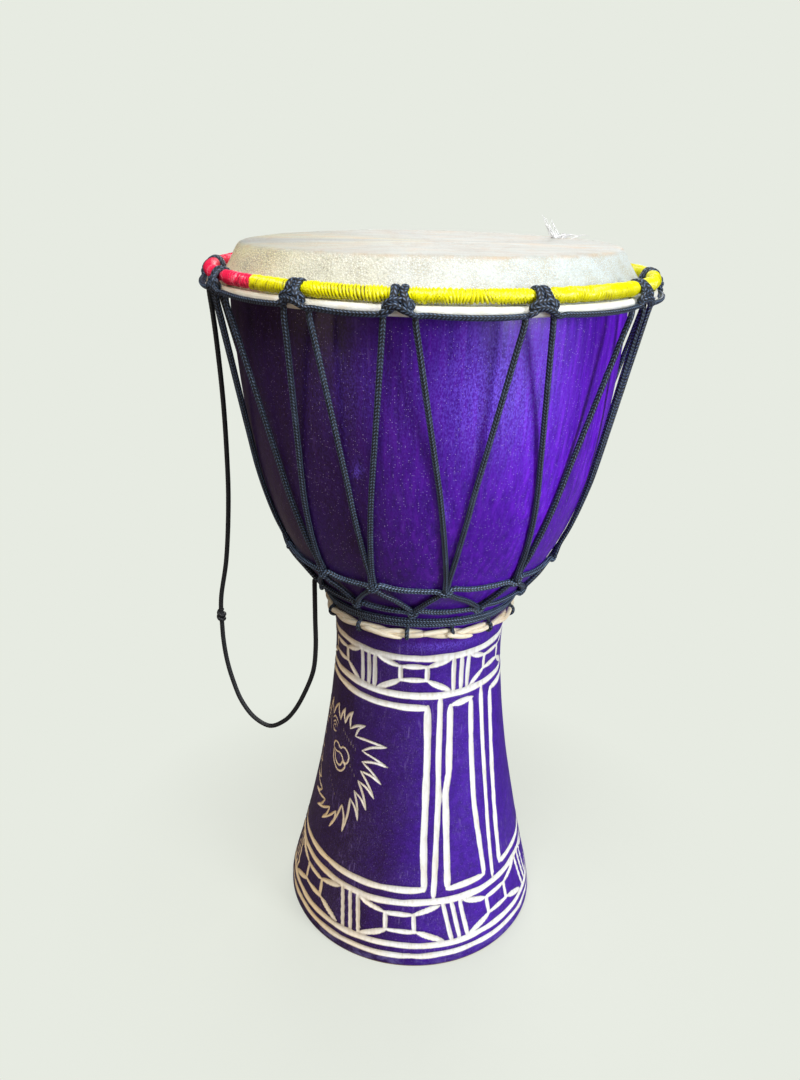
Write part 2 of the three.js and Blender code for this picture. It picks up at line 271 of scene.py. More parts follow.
class Shader:
    """A Principled material with short calls for the nodes that feed it."""

    def __init__(self, name, **sockets):
        self.material = bpy.data.materials.new(name)
        self.material.use_nodes = True
        self.tree = self.material.node_tree
        self.bsdf = self.tree.nodes["Principled BSDF"]
        for key, value in sockets.items():
            self.put(key.replace("_", " "), value)

    def put(self, socket, value):
        """Sets a Principled socket to a number, a colour or another node's output."""
        target = next(s for s in self.bsdf.inputs if s.name.lower() == socket.lower())
        self.feed(target, value)

    def feed(self, target, value):
        if isinstance(value, Value):
            value = value.socket
        if isinstance(value, bpy.types.NodeSocket):
            self.tree.links.new(value, target)
        else:
            target.default_value = value

    def node(self, kind, inputs=(), out=0, **settings):
        node = self.tree.nodes.new("ShaderNode" + kind)
        for key, value in settings.items():
            setattr(node, key, value)
        for key, value in dict(inputs).items():
            self.feed(node.inputs[key], value)
        return Value(self, node.outputs[out])

    def mix(self, factor, a, b):
        """Colour a, turned into colour b as the factor grows to 1; a tuple holds display values."""
        a, b = [srgb(*colour) if isinstance(colour, tuple) else colour for colour in (a, b)]
        return self.node("Mix", {0: factor, 6: a, 7: b}, out=2, data_type="RGBA")

    def remap(self, value, low, high, to_low=0.0, to_high=1.0):
        return self.node("MapRange", {0: value, 1: low, 2: high, 3: to_low, 4: to_high})

    def ramp(self, value, *stops):
        """Colour that runs through the stops, each a place and the display values there."""
        ramp = self.tree.nodes.new("ShaderNodeValToRGB")
        self.feed(ramp.inputs[0], value)
        elements = ramp.color_ramp.elements
        while len(elements) < len(stops):
            elements.new(0.5)
        for element, (place, *colour) in zip(elements, stops):
            element.position = place
            element.color = srgb(*colour)
        return Value(self, ramp.outputs[0])

    def place(self, stretch=(1, 1, 1), turn=(0, 0, 0)):
        """Object coordinates in metres, stretched and turned."""
        coordinates = self.node("TexCoord", out=3)
        return self.node("Mapping", {0: coordinates, 2: turn, 3: stretch})

    def axis(self, index, vector=None):
        """One coordinate of a vector, by default of the place in metres."""
        return self.node("SeparateXYZ", {0: self.place() if vector is None else vector}, out=index)

    def noise(self, scale, vector=None, detail=3.0, roughness=0.5, distortion=0.0):
        inputs = {"Scale": scale, "Detail": detail, "Roughness": roughness, "Distortion": distortion}
        inputs["Vector"] = self.place() if vector is None else vector
        return self.node("TexNoise", inputs)

    def cells(self, scale, vector=None, feature="F1", out="Distance"):
        inputs = {"Scale": scale, "Vector": self.place() if vector is None else vector}
        return self.node("TexVoronoi", inputs, out=out, feature=feature)

    def attribute(self, name):
        return self.node("Attribute", out=2, attribute_name=name)

    def bump(self, height, distance_mm, strength=1.0, normal=None):
        inputs = {"Height": height, "Distance": distance_mm * MM, "Strength": strength}
        if normal is not None:
            inputs["Normal"] = normal
        return self.node("Bump", inputs)


def larger(a, b):
    return a.math("MAXIMUM", b)


# ---- materials ----
def painted_wood():
    """Purple lacquer over wood, scratched and dusted, with painted shade on its left side and a painted
    highlight along the stem's top, and raw cream wood where it is carved or inside.
    """
    s = Shader("painted_wood", coat_roughness=0.16, specular_ior_level=0.27)
    carve, raw, stem, dust_and_highlight = [s.attribute(name) for name in ("carve", "raw", "stem", "dust_and_highlight")]
    ragged = s.noise(900, detail=2)
    cut = s.remap(carve + (ragged - 0.5) * 0.35, -0.12, 0.16)
    streaks = s.noise(300, s.place((1, 1, 0.05)), detail=3, roughness=0.6)
    broad = s.noise(17, s.place((1, 1, 0.12)), detail=3)
    bowl = s.ramp(streaks, (0.3, 68, 1, 160), (0.5, 98, 5, 208), (0.7, 130, 27, 244))
    bowl = s.mix(s.remap(broad, 0.4, 0.66, 0, 0.62), bowl, (50, 2, 116))
    mottled = s.noise(150, detail=5, roughness=0.7)
    low = s.ramp(mottled, (0.3, 50, 7, 122), (0.5, 65, 12, 156), (0.72, 86, 26, 186))
    low = s.mix(s.remap(broad, 0.45, 0.7, 0, 0.45), low, (50, 8, 128))
    paint = s.mix(stem, bowl, low)
    # Painted shade: the paint on the left side is darkened nearly to black, a little unevenly.
    painted_left_light = s.axis(0) * s.remap(stem, 0, 1, 1.0, 1.1) + (broad - 0.5) * 0.16
    paint = s.mix(s.remap(painted_left_light, 0.07, -0.07, 0, 0.95), paint, (36, 14, 26))
    # Fine pale scratches in three slanting families, a haze of rubbing on the stem, and pale speckle that is
    # partly dust and partly painted highlight.
    families = []
    for turn, seed in ((0.7, 0), (-0.6, 3), (1.35, 7)):
        lines = s.noise(420, s.place((1, 1, 0.055), (turn, turn * 0.7, seed)), detail=2, roughness=0.45)
        families.append(s.remap(lines, 0.66, 0.74))
    patchy = s.remap(s.noise(21, detail=3), 0.4, 0.66)
    scratches = larger(larger(*families[:2]), families[2]) * (patchy * s.remap(stem, 0, 1, 0.5, 1.4))
    paint = s.mix(scratches * 0.3, paint, (150, 128, 196))
    haze = stem * patchy * s.remap(s.noise(700, detail=4), 0.42, 0.7)
    paint = s.mix(haze * 0.13, paint, (150, 136, 180))
    for size, chance, reach, strength in ((800, 0.73, 0.25, 0.75), (300, 0.82, 0.09, 0.9)):
        drawn = s.node("SeparateColor", {0: s.cells(size, out="Color")})
        picked = s.remap(drawn, chance, chance + 0.05)
        grains = s.remap(s.cells(size), reach, reach * 0.5)
        shown = picked * s.remap(stem, 0, 1, strength, 0.4 * strength)
        paint = s.mix(grains * shown, paint, (206, 190, 232))
    # Pale speckle that is partly dust and partly painted highlight: on the bowl's shoulder and along the
    # stem's top under the cane.
    speckle = s.remap(s.noise(1000, s.place((1, 1, 0.6)), detail=2), 0.4, 0.62, 0.08, 0.85)
    paint = s.mix(dust_and_highlight * speckle, paint, (122, 92, 240))
    dirt = s.remap(s.noise(75, s.place((1, 1, 1.6)), detail=5, roughness=0.7), 0.46, 0.66, 0, 0.5)
    paint = s.mix(s.remap(s.axis(2), 0.017, 0.004) * dirt, paint, (140, 134, 196))
    rubbed = s.remap(s.noise(48, s.place((1, 1, 0.3)), detail=5, roughness=0.7), 0.64, 0.74)
    paint = s.mix(rubbed * 0.28, paint, (130, 96, 186))
    # Raw wood in the cuts: cream, browner along their edges with painted shade, and browner where dirt has
    # gathered.
    fibre = s.noise(330, s.place((1, 1, 0.16)), detail=4, roughness=0.6)
    cream = s.ramp(fibre, (0.25, 218, 215, 206), (0.5, 238, 239, 236), (0.75, 246, 248, 248))
    stain = s.remap(s.noise(34, detail=3), 0.56, 0.78, 0, 0.3)
    cream = s.mix(stain, cream, (214, 186, 136))
    # Painted warm light: the cuts on the left side are tinted golden.
    cream = s.mix(s.remap(painted_left_light, -0.035, -0.1, 0, 0.75), cream, (250, 218, 160))
    # Painted shade just inside each cut's edge.
    cream = s.mix(s.remap(carve, 0.6, 0.1) * 0.4, cream, (150, 122, 104))
    wood = s.ramp(s.noise(120, s.place((1, 1, 0.07)), detail=5), (0.3, 150, 108, 66),
                  (0.55, 186, 146, 98), (0.8, 206, 172, 124))
    s.put("Base Color", s.mix(raw, s.mix(cut, paint, cream), wood))
    bare = larger(cut, raw)
    gloss = s.remap(streaks, 0.3, 0.75, 0.3, 0.42) + stem * 0.16 + scratches * 0.2
    s.put("Roughness", gloss * (1 - bare) + bare * 0.78)
    s.put("Coat Weight", (1 - bare) * 0.09)
    peel = s.noise(1150, detail=2, roughness=0.7)
    relief = streaks * 0.22 + scratches * -0.3 + peel * 0.6 + bare * (fibre * 0.9)
    s.put("Normal", s.bump(relief, 0.4, 0.6, s.bump(broad, 2.5, 0.3)))
    return s.material


def goatskin():
    """Shaved goatskin: pebbled on the collar, smoother and greyer where hands strike it."""
    s = Shader("goatskin", specular_ior_level=0.35)
    struck, folded, painted_warm_light = [s.attribute(name) for name in ("struck", "folded", "painted_warm_light")]
    wander = s.node("TexNoise", {"Scale": 300.0}, out=1)
    wander = s.node("VectorMath", {0: wander, 3: 0.0012}, operation="SCALE")
    warped = s.node("VectorMath", {0: s.place((1, 1, 1.2)), 1: wander}, operation="ADD")
    pebbles = s.cells(640, warped, feature="SMOOTH_F1")
    cracks = s.cells(640, warped, feature="DISTANCE_TO_EDGE")
    blotches = s.noise(22, detail=4, roughness=0.6)
    fine = s.noise(700, detail=3)
    hair_marks = s.noise(150, s.place((0.12, 1, 1), (0, 0, 0.5)), detail=4, roughness=0.65)
    # Painted light: the collar is greyer and cooler on its right, as painted shade that tones down the key
    # light there, and whiter, cream to amber, on its left as painted warm light.
    right = s.ramp(blotches, (0.3, 215, 226, 228), (0.5, 224, 236, 241), (0.7, 226, 239, 246))
    left = s.ramp(blotches, (0.3, 246, 245, 236), (0.5, 253, 253, 249), (0.7, 255, 255, 254))
    collar = s.mix(s.remap(s.axis(0), 0.1, -0.05), right, left)
    collar = s.mix(painted_warm_light * s.remap(blotches, 0.3, 0.7, 0.9, 0.6), collar, (255, 246, 176))
    # Painted shade in the cracks between the pebbles, deeper in patches.
    patchiness = s.remap(s.noise(55, detail=3), 0.35, 0.65, 0.4, 0.95)
    collar = s.mix(s.remap(cracks, 0.22, 0.03) * patchiness, collar, (190, 184, 164))
    top = s.ramp(hair_marks, (0.3, 160, 161, 156), (0.5, 177, 180, 175), (0.7, 192, 196, 193))
    top = s.mix(s.remap(blotches, 0.5, 0.75, 0, 0.5), top, (170, 156, 140))
    veins = s.noise(38, s.place((1, 0.35, 1), (0, 0, 0.9)), detail=5, roughness=0.7, distortion=0.6)
    top = s.mix(s.remap(abs(veins - 0.5), 0.03, 0.0) * 0.3, top, (158, 132, 108))
    soiled = s.remap(abs(struck - 0.5), 0.46, 0.1) * s.remap(s.noise(45, detail=4), 0.42, 0.66, 0, 0.5)
    colour = s.mix(soiled, s.mix(struck, collar, top), (204, 168, 122))
    fold = s.ramp(s.noise(90, s.place((1, 1, 2)), detail=4), (0.3, 236, 230, 214),
                  (0.55, 247, 248, 243), (0.8, 251, 253, 252))
    # Painted warm light: the fold is tan on the left.
    fold = s.mix(painted_warm_light * 0.6, fold, (232, 204, 158))
    s.put("Base Color", s.mix(folded, colour, fold))
    s.put("Roughness", s.remap(fine, 0.3, 0.7, 0.5, 0.68))
    s.put("Subsurface Weight", 0.12)
    s.put("Subsurface Radius", (0.006, 0.004, 0.003))
    s.put("Subsurface Scale", 1.0)
    height = s.remap(pebbles, 0.0, 0.62, 1.0, 0.0) * (1.0 - struck * 0.72) * (1.0 - folded * 0.7) + fine * 0.3
    s.put("Normal", s.bump(height, 0.65, 0.9, s.bump(hair_marks, 1.0, 0.25)))
    return s.material


def braided_cord(name, body, bright, sheen):
    """Waxed braided cord: U runs round it and V along it in millimetres."""
    s = Shader(name, specular_ior_level=0.5, sheen_weight=sheen, sheen_roughness=0.35,
               sheen_tint=srgb(150, 180, 220))
    uv = s.node("UVMap")
    # Rows of stitches round the cord, each row slanting the other way from its neighbours.
    row = s.axis(0, uv) * BRAID_ROWS
    across = row.math("FRACT") - 0.5
    slant = row.wave().math("SIGN")
    uneven = s.axis(1, uv) + s.noise(160, detail=2) * 1.6
    stitch = abs((uneven / STITCH + slant * across * 0.9).wave()) ** 1.1
    strands = stitch * (1.0 - across * across * 2.6)
    fuzz = s.noise(1500, detail=3)
    patchiness = s.noise(120, detail=3)
    # Painted shade between the stitches and a painted highlight on their crowns.
    colour = s.ramp(strands * 0.72 + fuzz * 0.3, (0.15, 2, 3, 4), (0.4, 9, 12, 18), (0.6, *body),
                    (0.82, *bright))
    s.put("Base Color", s.mix(s.remap(patchiness, 0.52, 0.78, 0, 0.22), colour, bright))
    s.put("Roughness", s.remap(strands, 0, 1, 0.7, 0.42))
    s.put("Normal", s.bump(strands + fuzz * 0.35, 0.22, 0.8))
    return s.material


def wound_yarn(name, deep, body, bright):
    """Shiny yarn wound in close turns; each turn has its own shade."""
    s = Shader(name, specular_ior_level=0.55)
    crest, shade = s.attribute("crest"), s.attribute("shade")
    fibres = s.noise(1400, detail=2)
    # Painted shade in the valleys between turns and a painted highlight on their crests, with each turn's own
    # tone added.
    tone = crest ** 0.9 * 0.5 + shade * 0.4 + fibres * 0.3
    colour = s.ramp(tone, (0.3, *deep), (0.62, *body), (0.84, *body), (1.0, *bright))
    # Painted shade: the yarn is darkened towards its right.
    s.put("Base Color", s.mix(s.remap(s.axis(0), 0.02, 0.13, 0, 0.25), colour, deep))
    s.put("Roughness", s.remap(shade, 0, 1, 0.36, 0.16))
    s.put("Normal", s.bump(fibres, 0.16, 0.6))
    return s.material


def split_cane():
    """Peeled cane: glossy pale skin with brown fibres along it and brown blotches."""
    s = Shader("split_cane", specular_ior_level=0.5)
    along = s.node("Mapping", {0: s.node("UVMap"), 3: (9, 0.05, 1)})
    fibres = s.node("TexNoise", {"Vector": along, "Scale": 3.0, "Detail": 4.0})
    blotches = s.noise(60, detail=4)
    colour = s.ramp(fibres, (0.3, 232, 202, 154), (0.46, 253, 240, 212), (0.75, 255, 252, 240))
    s.put("Base Color", s.mix(s.remap(blotches, 0.56, 0.76, 0, 0.4), colour, (206, 156, 100)))
    s.put("Roughness", s.remap(fibres, 0.3, 0.7, 0.6, 0.4))
    s.put("Normal", s.bump(fibres + blotches * 0.5, 0.35, 0.8))
    return s.material


def blackened_steel():
    """Welded rod: dark scale with rubbed and rusty patches."""
    s = Shader("blackened_steel", metallic=0.9)
    patches = s.noise(180, detail=5)
    s.put("Base Color", s.ramp(patches, (0.35, 58, 56, 56), (0.55, 110, 108, 106),
                               (0.7, 124, 84, 60)))
    s.put("Roughness", s.remap(patches, 0.3, 0.7, 0.35, 0.7))
    s.put("Normal", s.bump(s.noise(900, detail=3), 0.15, 0.6))
    return s.material


def goat_hair():
    s = Shader("goat_hair", roughness=0.45)
    s.put("Base Color", s.ramp(s.noise(400), (0.3, 214, 216, 220), (0.7, 252, 252, 252)))
    return s.material


BRAID_ROWS, STITCH = 6, 2.4     # rows round a cord, and the length of one stitch in mm
WOOD = painted_wood()
SKIN = goatskin()
# One cord in three copies: a lighter copy with painted light for the waist's rows and base runs, and a darker
# copy with painted shade for the carry cord and its knot.
CORD = braided_cord("braided_cord", (22, 28, 40), (92, 112, 142), 0.22)
PAINTED_LIGHT_CORD = braided_cord("painted_light_braided_cord", (34, 44, 62), (122, 148, 182), 0.42)
PAINTED_SHADE_CORD = braided_cord("painted_shade_braided_cord", (10, 12, 15), (34, 38, 44), 0.05)
YELLOW = wound_yarn("yellow_yarn", (104, 86, 0), (246, 240, 0), (255, 254, 60))
RED = wound_yarn("red_yarn", (92, 0, 14), (248, 34, 82), (255, 150, 172))
CANE = split_cane()
STEEL = blackened_steel()
HAIR = goat_hair()


# ---- camera, lights and floor ----
CAMERA_PLACE = (-18.3, -676.8, 640.9)
CAMERA_PITCH = 22.61     # degrees down from level
CAMERA_ROLL = 1.406      # degrees
CAMERA_LENS = 28.877
BACKDROP = srgb(231, 235, 226)


def add_camera():
    data = bpy.data.cameras.new("camera")
    data.lens = CAMERA_LENS
    data.sensor_width = 36
    data.clip_start = 0.02
    camera = bpy.data.objects.new("camera", data)
    bpy.context.scene.collection.objects.link(camera)
    pitch, roll = math.radians(CAMERA_PITCH), math.radians(CAMERA_ROLL)
    forward = Vector((0, math.cos(pitch), -math.sin(pitch)))
    up = Vector((0, math.sin(pitch), math.cos(pitch)))
    right = Vector((1, 0, 0))
    side = right * math.cos(roll) + up * math.sin(roll)
    rise = up * math.cos(roll) - right * math.sin(roll)
    turn = Matrix((side, rise, -forward)).transposed().to_4x4()
    camera.matrix_world = Matrix.Translation(Vector(CAMERA_PLACE) * MM) @ turn
    bpy.context.scene.camera = camera


def add_light(name, place, target, size, power, colour):
    data = bpy.data.lights.new(name, "AREA")
    data.shape = "RECTANGLE"
    data.size, data.size_y = size
    data.energy = power
    data.color = colour
    light = bpy.data.objects.new(name, data)
    bpy.context.scene.collection.objects.link(light)
    light.location = place
    light.visible_camera = False
    light.rotation_euler = (Vector(target) - Vector(place)).to_track_quat("-Z", "Y").to_euler()


def add_studio():
    add_light("key", (1.66, -1.4, 0.92), (0, 0, 0.35), (0.8, 0.9), 38, (0.96, 0.99, 1.0))
    add_light("low_right", (1.05, -0.72, 0.24), (0, 0, 0.42), (1.3, 0.35), 1.7, (0.8, 0.86, 1.0))
    add_light("left_fill", (-1.5, -1.0, 0.5), (0, 0, 0.3), (0.7, 1.0), 3.3, (1.0, 0.78, 0.56))
    add_light("overhead", (-0.15, -0.95, 1.9), (0, 0, 0.55), (1.2, 0.9), 31, (1.0, 1.0, 0.99))
    add_light("back", (0.3, 1.6, 1.2), (0, 0, 0.35), (1.2, 1.0), 16, (1.0, 0.98, 0.95))

    world = bpy.data.worlds.new("world")
    bpy.context.scene.world = world
    world.use_nodes = True
    tree = world.node_tree
    backdrop = tree.nodes["Background"]
    backdrop.inputs[0].default_value = BACKDROP
    ambient = tree.nodes.new("ShaderNodeBackground")
    ambient.inputs[0].default_value = (1.0, 0.92, 0.84, 1)
    ambient.inputs[1].default_value = 0.09
    seen = tree.nodes.new("ShaderNodeLightPath")
    choose = tree.nodes.new("ShaderNodeMixShader")
    tree.links.new(seen.outputs["Is Camera Ray"], choose.inputs[0])
    tree.links.new(ambient.outputs[0], choose.inputs[1])
    tree.links.new(backdrop.outputs[0], choose.inputs[2])
    tree.links.new(choose.outputs[0], tree.nodes["World Output"].inputs[0])

    angles = np.arange(96) * 3.75
    rings = np.array([1, 100, 250, 500, 1000, 2500, 9000])
    points = polar(angles[None], rings[:, None], 0.0)
    faces = grid_faces(len(rings), len(angles))
    floor = make_object("floor", points, faces, floor_material())
    bpy.context.scene.view_settings.view_transform = "Standard"


def floor_material():
    """Pale matt floor that fades into the backdrop's colour away from the drum and bounces little light."""
    s = Shader("floor", roughness=0.9, specular_ior_level=0.1)
    s.put("Base Color", s.mix(s.noise(30), (212, 216, 207), (216, 220, 211)))
    far = s.node("VectorMath", {0: s.place()}, out=1, operation="LENGTH")
    glow = s.node("Emission", {0: BACKDROP})
    pale = s.node("MixShader", {0: s.remap(far, 0.1, 0.34, 0.55, 1.0), 1: s.bsdf.outputs[0], 2: glow})
    dim = s.node("BsdfDiffuse", {0: srgb(120, 110, 104)})
    seen = s.node("LightPath")
    both = s.node("MixShader", {0: seen, 1: dim, 2: pale})
    s.feed(s.tree.nodes["Material Output"].inputs[0], both)
    return s.material


add_camera()
add_studio()


# ---- carry cord: the one free cord, slack from the crown down past the waist and back ----
CORD_ROUTE = [
    (-168.6, 4.2, 569.4), (-168.2, 3.6, 560), (-166, 1.6, 543), (-164, 1, 519), (-161.6, 0.2, 476),
    (-161, 0, 432), (-162, 0.4, 390), (-167, 2, 336), (-173.4, 4, 302), (-174.6, 4.3, 290),
    (-174.6, 4.3, 272), (-174.2, 4.2, 256), (-172, 3.5, 236), (-167.4, 2, 216), (-160, -0.3, 195.5),
    (-148, -4, 180), (-133.6, -8.5, 174.6), (-119, -13, 184), (-109, -16.2, 198), (-98.4, -19.5, 221),
    (-91.2, -21.8, 243), (-88.8, -22.4, 266), (-88.8, -22.5, 295), (-88.8, -22.6, 332.2),
]
CORD_KNOT = (-174.6, 4.3, 281)
CORD_SIDES = 12
CORD_STEP = 0.85
PRESSED_WIDER, PRESSED_FLATTER = 1.16, 0.42


def cord_mesh(name, paths, radius=ROPE_RADIUS, material=CORD, step=CORD_STEP, sides=CORD_SIDES,
              taper=None, pressed=None, raised=0.07):
    """One or more cords as closed tubes. Paths are points in mm.

    pressed gives the direction in which each point of a path is pressed flat; raised is the braid's relief.
    """
    points, faces, corners, start = [], [], [], 0
    for route in paths:
        path = catmull_rom(route, step)
        normal, binormal = frames_along(path)
        along = np.arange(len(path)) * step
        turn = np.arange(sides) * 2 * math.pi / sides
        wide = 1 + 0.03 * smooth_noise(along / 23, len(path))
        row = turn * BRAID_ROWS / (2 * math.pi)
        shift = 0.9 * np.sign(np.sin(math.pi * row + 0.01)) * (row % 1 - 0.5)
        relief = np.abs(np.sin(math.pi * (along[:, None] / STITCH + shift)))
        reach = radius * wide[:, None] * (0.96 + raised * relief)
        if taper is not None:
            reach = reach * taper(along / along[-1])[:, None]
        ends = np.minimum(along, along[-1] - along)
        reach = reach * np.sqrt(np.clip(ends / radius + 0.12, 0, 1))[:, None]
        offset = reach[..., None] * (np.cos(turn)[None, :, None] * normal[:, None]
                                     + np.sin(turn)[None, :, None] * binormal[:, None])
        if pressed is not None:
            flat = pressed(path)[:, None]
            depth = (offset * flat).sum(-1, keepdims=True)
            offset = PRESSED_WIDER * offset - PRESSED_FLATTER * depth * flat
        ring = path[:, None] + offset
        count = len(path)
        column = np.tile(np.arange(sides), count - 1)
        row = np.repeat(np.arange(count - 1), sides)
        u = np.stack([column, column + 1, column + 1, column], -1) / sides
        v = np.stack([row, row, row + 1, row + 1], -1) * step
        points.append(ring.reshape(-1, 3))
        faces += tube_faces(count, sides, start)
        corners.append(np.stack([u, v], -1).reshape(-1, 2))
        for end in (0, -1):
            corners.append(np.stack([np.full(sides, 0.5), np.full(sides, along[end])], -1))
        start += count * sides
    return make_object(name, np.vstack(points), faces, material, uv=np.vstack(corners))


def overhand_knot(name, centre, tightness=2.6):
    """Overhand knot pulled tight in a vertical cord: two and a half close turns round the cord."""
    t = np.linspace(0, 5 * math.pi, 34)
    swell = np.sin(np.linspace(0.15, math.pi - 0.15, len(t))) ** 0.5
    x = centre[0] + tightness * swell * np.cos(t)
    y = centre[1] + tightness * swell * np.sin(t)
    z = centre[2] + np.linspace(5.2, -5.2, len(t)) + 0.8 * np.sin(t)
    return cord_mesh(name, [np.stack([x, y, z], -1)], radius=1.8, material=PAINTED_SHADE_CORD, step=0.6)


def add_carry_cord():
    # The carry cord and its knot take the darker copy of the cord, with painted shade.
    cord = cord_mesh("carry_cord", [CORD_ROUTE], material=PAINTED_SHADE_CORD)
    knot = overhand_knot("carry_cord_knot", CORD_KNOT)
    path = catmull_rom(CORD_ROUTE, 4)
    stand_in(cord, "rope", "carry_cord")
    stand_in(knot, "rope", "carry_cord_knot")
    tuple(np.array(CORD_ROUTE[0]) * MM)


def stand_in(piece, slot, *nodes):
    """Rides the only body and stands for CAD nodes, hiding them; the slot argument is not used."""
    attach(piece, "root")
    if nodes:
        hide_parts(*nodes)


def add_rope(name, paths, **options):
    """A piece of rope that stands for the CAD node of the same name."""
    stand_in(cord_mesh(name, paths, **options), "rope", name)


# ---- carving on the stem: every cut is a chain of gouge strokes ----
GOUGE = 30               # mm that one push of the gouge cuts
CUT_WIDTH = 6.1
CUT_DEPTH = 1.35
LION_ANGLE, LION_Z = -60, 163
LION_WIDTH = 2.4
RING_CUTS = (286.5, 251.5, 61, 21.5, 12)
UPPER_BARS = (-35.3, 28.2, 86, 146, 206, 266)
LOWER_BARS = [19.3 + 360 / 7 * i for i in range(-1, 6)]


def resample(points, step):
    points = np.asarray(points, float)
    radius = outside(points[:, 1].mean())
    scale = np.array([math.radians(1) * radius, 1])
    lengths = lengths_along(points * scale)
    count = max(2, int(math.ceil(lengths[-1] / step)) + 1)
    even = np.linspace(0, lengths[-1], count)
    return np.stack([np.interp(even, lengths, points[:, i]) for i in range(2)], -1), even, scale


def cut(points, width=CUT_WIDTH, ends=0.45, wobble=0.22, lens=0.0):
    """A cut through [angle, height] points: angles, heights and half widths along it."""
    line, along, scale = resample(points, 3.5)
    total = along[-1]
    seed = RANDOM.uniform(0, 100)
    pulse = np.abs(np.sin(math.pi * (along + seed) / GOUGE)) ** 0.5
    half = width / 2 * (0.9 + 0.12 * pulse + 0.05 * np.sin(along / 9 + seed))
    near_end = np.clip(np.minimum(along, total - along) / 6, 0, 1)
    half = half * (ends + (1 - ends) * np.sqrt(near_end))
    half = half * (1 - lens * np.abs(2 * along / max(total, 1e-6) - 1) ** 2)
    direction = np.gradient(line * scale, axis=0)
    direction /= np.maximum(np.linalg.norm(direction, axis=1, keepdims=True), 1e-6)
    shift = wobble * (np.sin(along / 23 + seed) + 0.5 * np.sin(along / 11 + 2 * seed)) * near_end
    line = line + shift[:, None] * np.stack([-direction[:, 1], direction[:, 0]], -1) / scale
    return line[:, 0], line[:, 1], half


def curved(points, steps=6):
    """Smooth line through [angle, height] points."""
    p = np.asarray(points, float)
    p = np.vstack([2 * p[0] - p[1], p, 2 * p[-1] - p[-2]])
    t = np.linspace(0, 1, steps + 1)[:-1, None]
    parts = []
    for a, b, c, d in zip(p[:-3], p[1:-2], p[2:-1], p[3:]):
        square, cube = 2 * a - 5 * b + 4 * c - d, 3 * b - a - 3 * c + d
        parts.append(0.5 * (2 * b + (c - a) * t + square * t ** 2 + cube * t ** 3))
    return np.vstack(parts + [p[-2][None]])


def ring_cuts():
    for z in RING_CUTS:
        angles = np.linspace(0, 360, 73)
        ring = np.stack([angles, z + 0.5 * np.sin(np.radians(angles * 3 + z))], -1)
        yield cut(ring, CUT_WIDTH * (0.94 if z < 30 else 1.04), ends=1, wobble=0.3)


def panel_cuts():
    for turn in (0, 180):
        def line(*points, **options):
            return cut([(a + turn, z) for a, z in points], **options)
        yield line((6.2, 242), (6.3, 190), (5.4, 120), (5.6, 72))
        yield line((6.4, 240.5), (-60, 242), (-123.5, 241.5))
        yield line((6, 73.2), (-60, 72.3), (-128.5, 72.5))
        yield line((-123.5, 242), (-126, 150), (-128.5, 72))
        yield line((14.4, 249), (13.4, 160), (10.3, 64), width=CUT_WIDTH * 0.85)
        yield line((46.5, 249), (46.4, 150), (44.8, 64), width=CUT_WIDTH * 0.8)
        yield line((21.3, 241), (20.4, 180), (17.8, 160), (17.5, 72))
        yield line((36.9, 242), (36.6, 150), (39, 72), width=CUT_WIDTH * 0.9)
        yield line((21.8, 241), (39.1, 242.5), lens=0.5)
        yield line((17, 71.5), (38.9, 72), lens=0.2)


def band_cuts(bars, low, high, lean, gap, box, top, bottom):
    """Triple bars and, between them, an H: short posts between two lens-shaped cuts, braced to the bars.

    lean is how far a bar's foot turns from its head and gap the turn between bars. box is half the
    posts' spread, and the posts run from the height top down to bottom.
    """
    for i, bar in enumerate(bars):
        for side in (-1, 0, 1):
            x = bar + side * gap + RANDOM.uniform(-0.3, 0.3)
            yield cut([(x, high), (x + lean - side * 0.5, low)], CUT_WIDTH * 0.68, ends=0.7, wobble=0.25)
        following = after(bars, i)
        middle = (bar + following) / 2
        reach = (following - bar) / 2 - gap * 1.4
        tilt = lean * 0.5
        for side in (-1, 1):
            x = middle + side * box
            post = [(x + tilt * 0.3, top), (x + tilt * 0.6, bottom)]
            yield cut(post, CUT_WIDTH * 0.7, ends=0.8, wobble=0.1)
            upper = [(x, top), (middle + side * reach, high - (high - top) * 0.16)]
            yield cut(upper, CUT_WIDTH * 0.86, lens=0.35)
            lower = [(x + tilt, bottom), (middle + tilt + side * reach, low + (bottom - low) * 0.12)]
            yield cut(lower, CUT_WIDTH * 0.9, lens=0.35)
        for z, shift in ((top, 0), (bottom, tilt)):
            level = [(middle - box - 1 + shift, z), (middle + box + 1 + shift, z)]
            yield cut(level, CUT_WIDTH * 0.78, lens=0.4, wobble=0.15)


# The lion's face, [across, up] in mm from its centre: mane tips and the hollows between them, clockwise.
MANE_TIPS = [
    (-3, 56), (8, 57), (19, 59), (34, 52), (56, 38), (60, 20), (57, 3), (53, -12), (48, -25), (42, -38),
    (28, -56), (11, -61), (-3, -61), (-18, -57), (-30, -47), (-40, -34), (-47, -18), (-51, -1),
    (-50, 16), (-44, 32), (-34, 45), (-19, 53)]
MANE_HOLLOWS = [
    (2, 42), (10, 43), (18, 42), (25, 38), (34, 28), (36, 18), (36, 9), (35, -1), (33, -12), (30, -21),
    (22, -32), (16, -42), (7, -43), (-3, -42), (-13, -38), (-21, -31), (-28, -20), (-32, -8),
    (-33, 5), (-31, 18), (-25, 30), (-14, 39)]
NOSE = [
    (-3, 12), (-4, 17), (2, 20), (8, 17), (10, 20), (16, 21), (21, 16), (20, 9), (15, 6), (13, 11), (7, 13),
    (2, 11), (-3, 12)]
MUZZLE = [(-3, 10), (-2, 3), (3, -2), (9, -4), (15, -1), (18, 5), (15, 9)]
LIP = [(0, 9), (3, 3), (8, 1), (12, 3), (14, 8)]
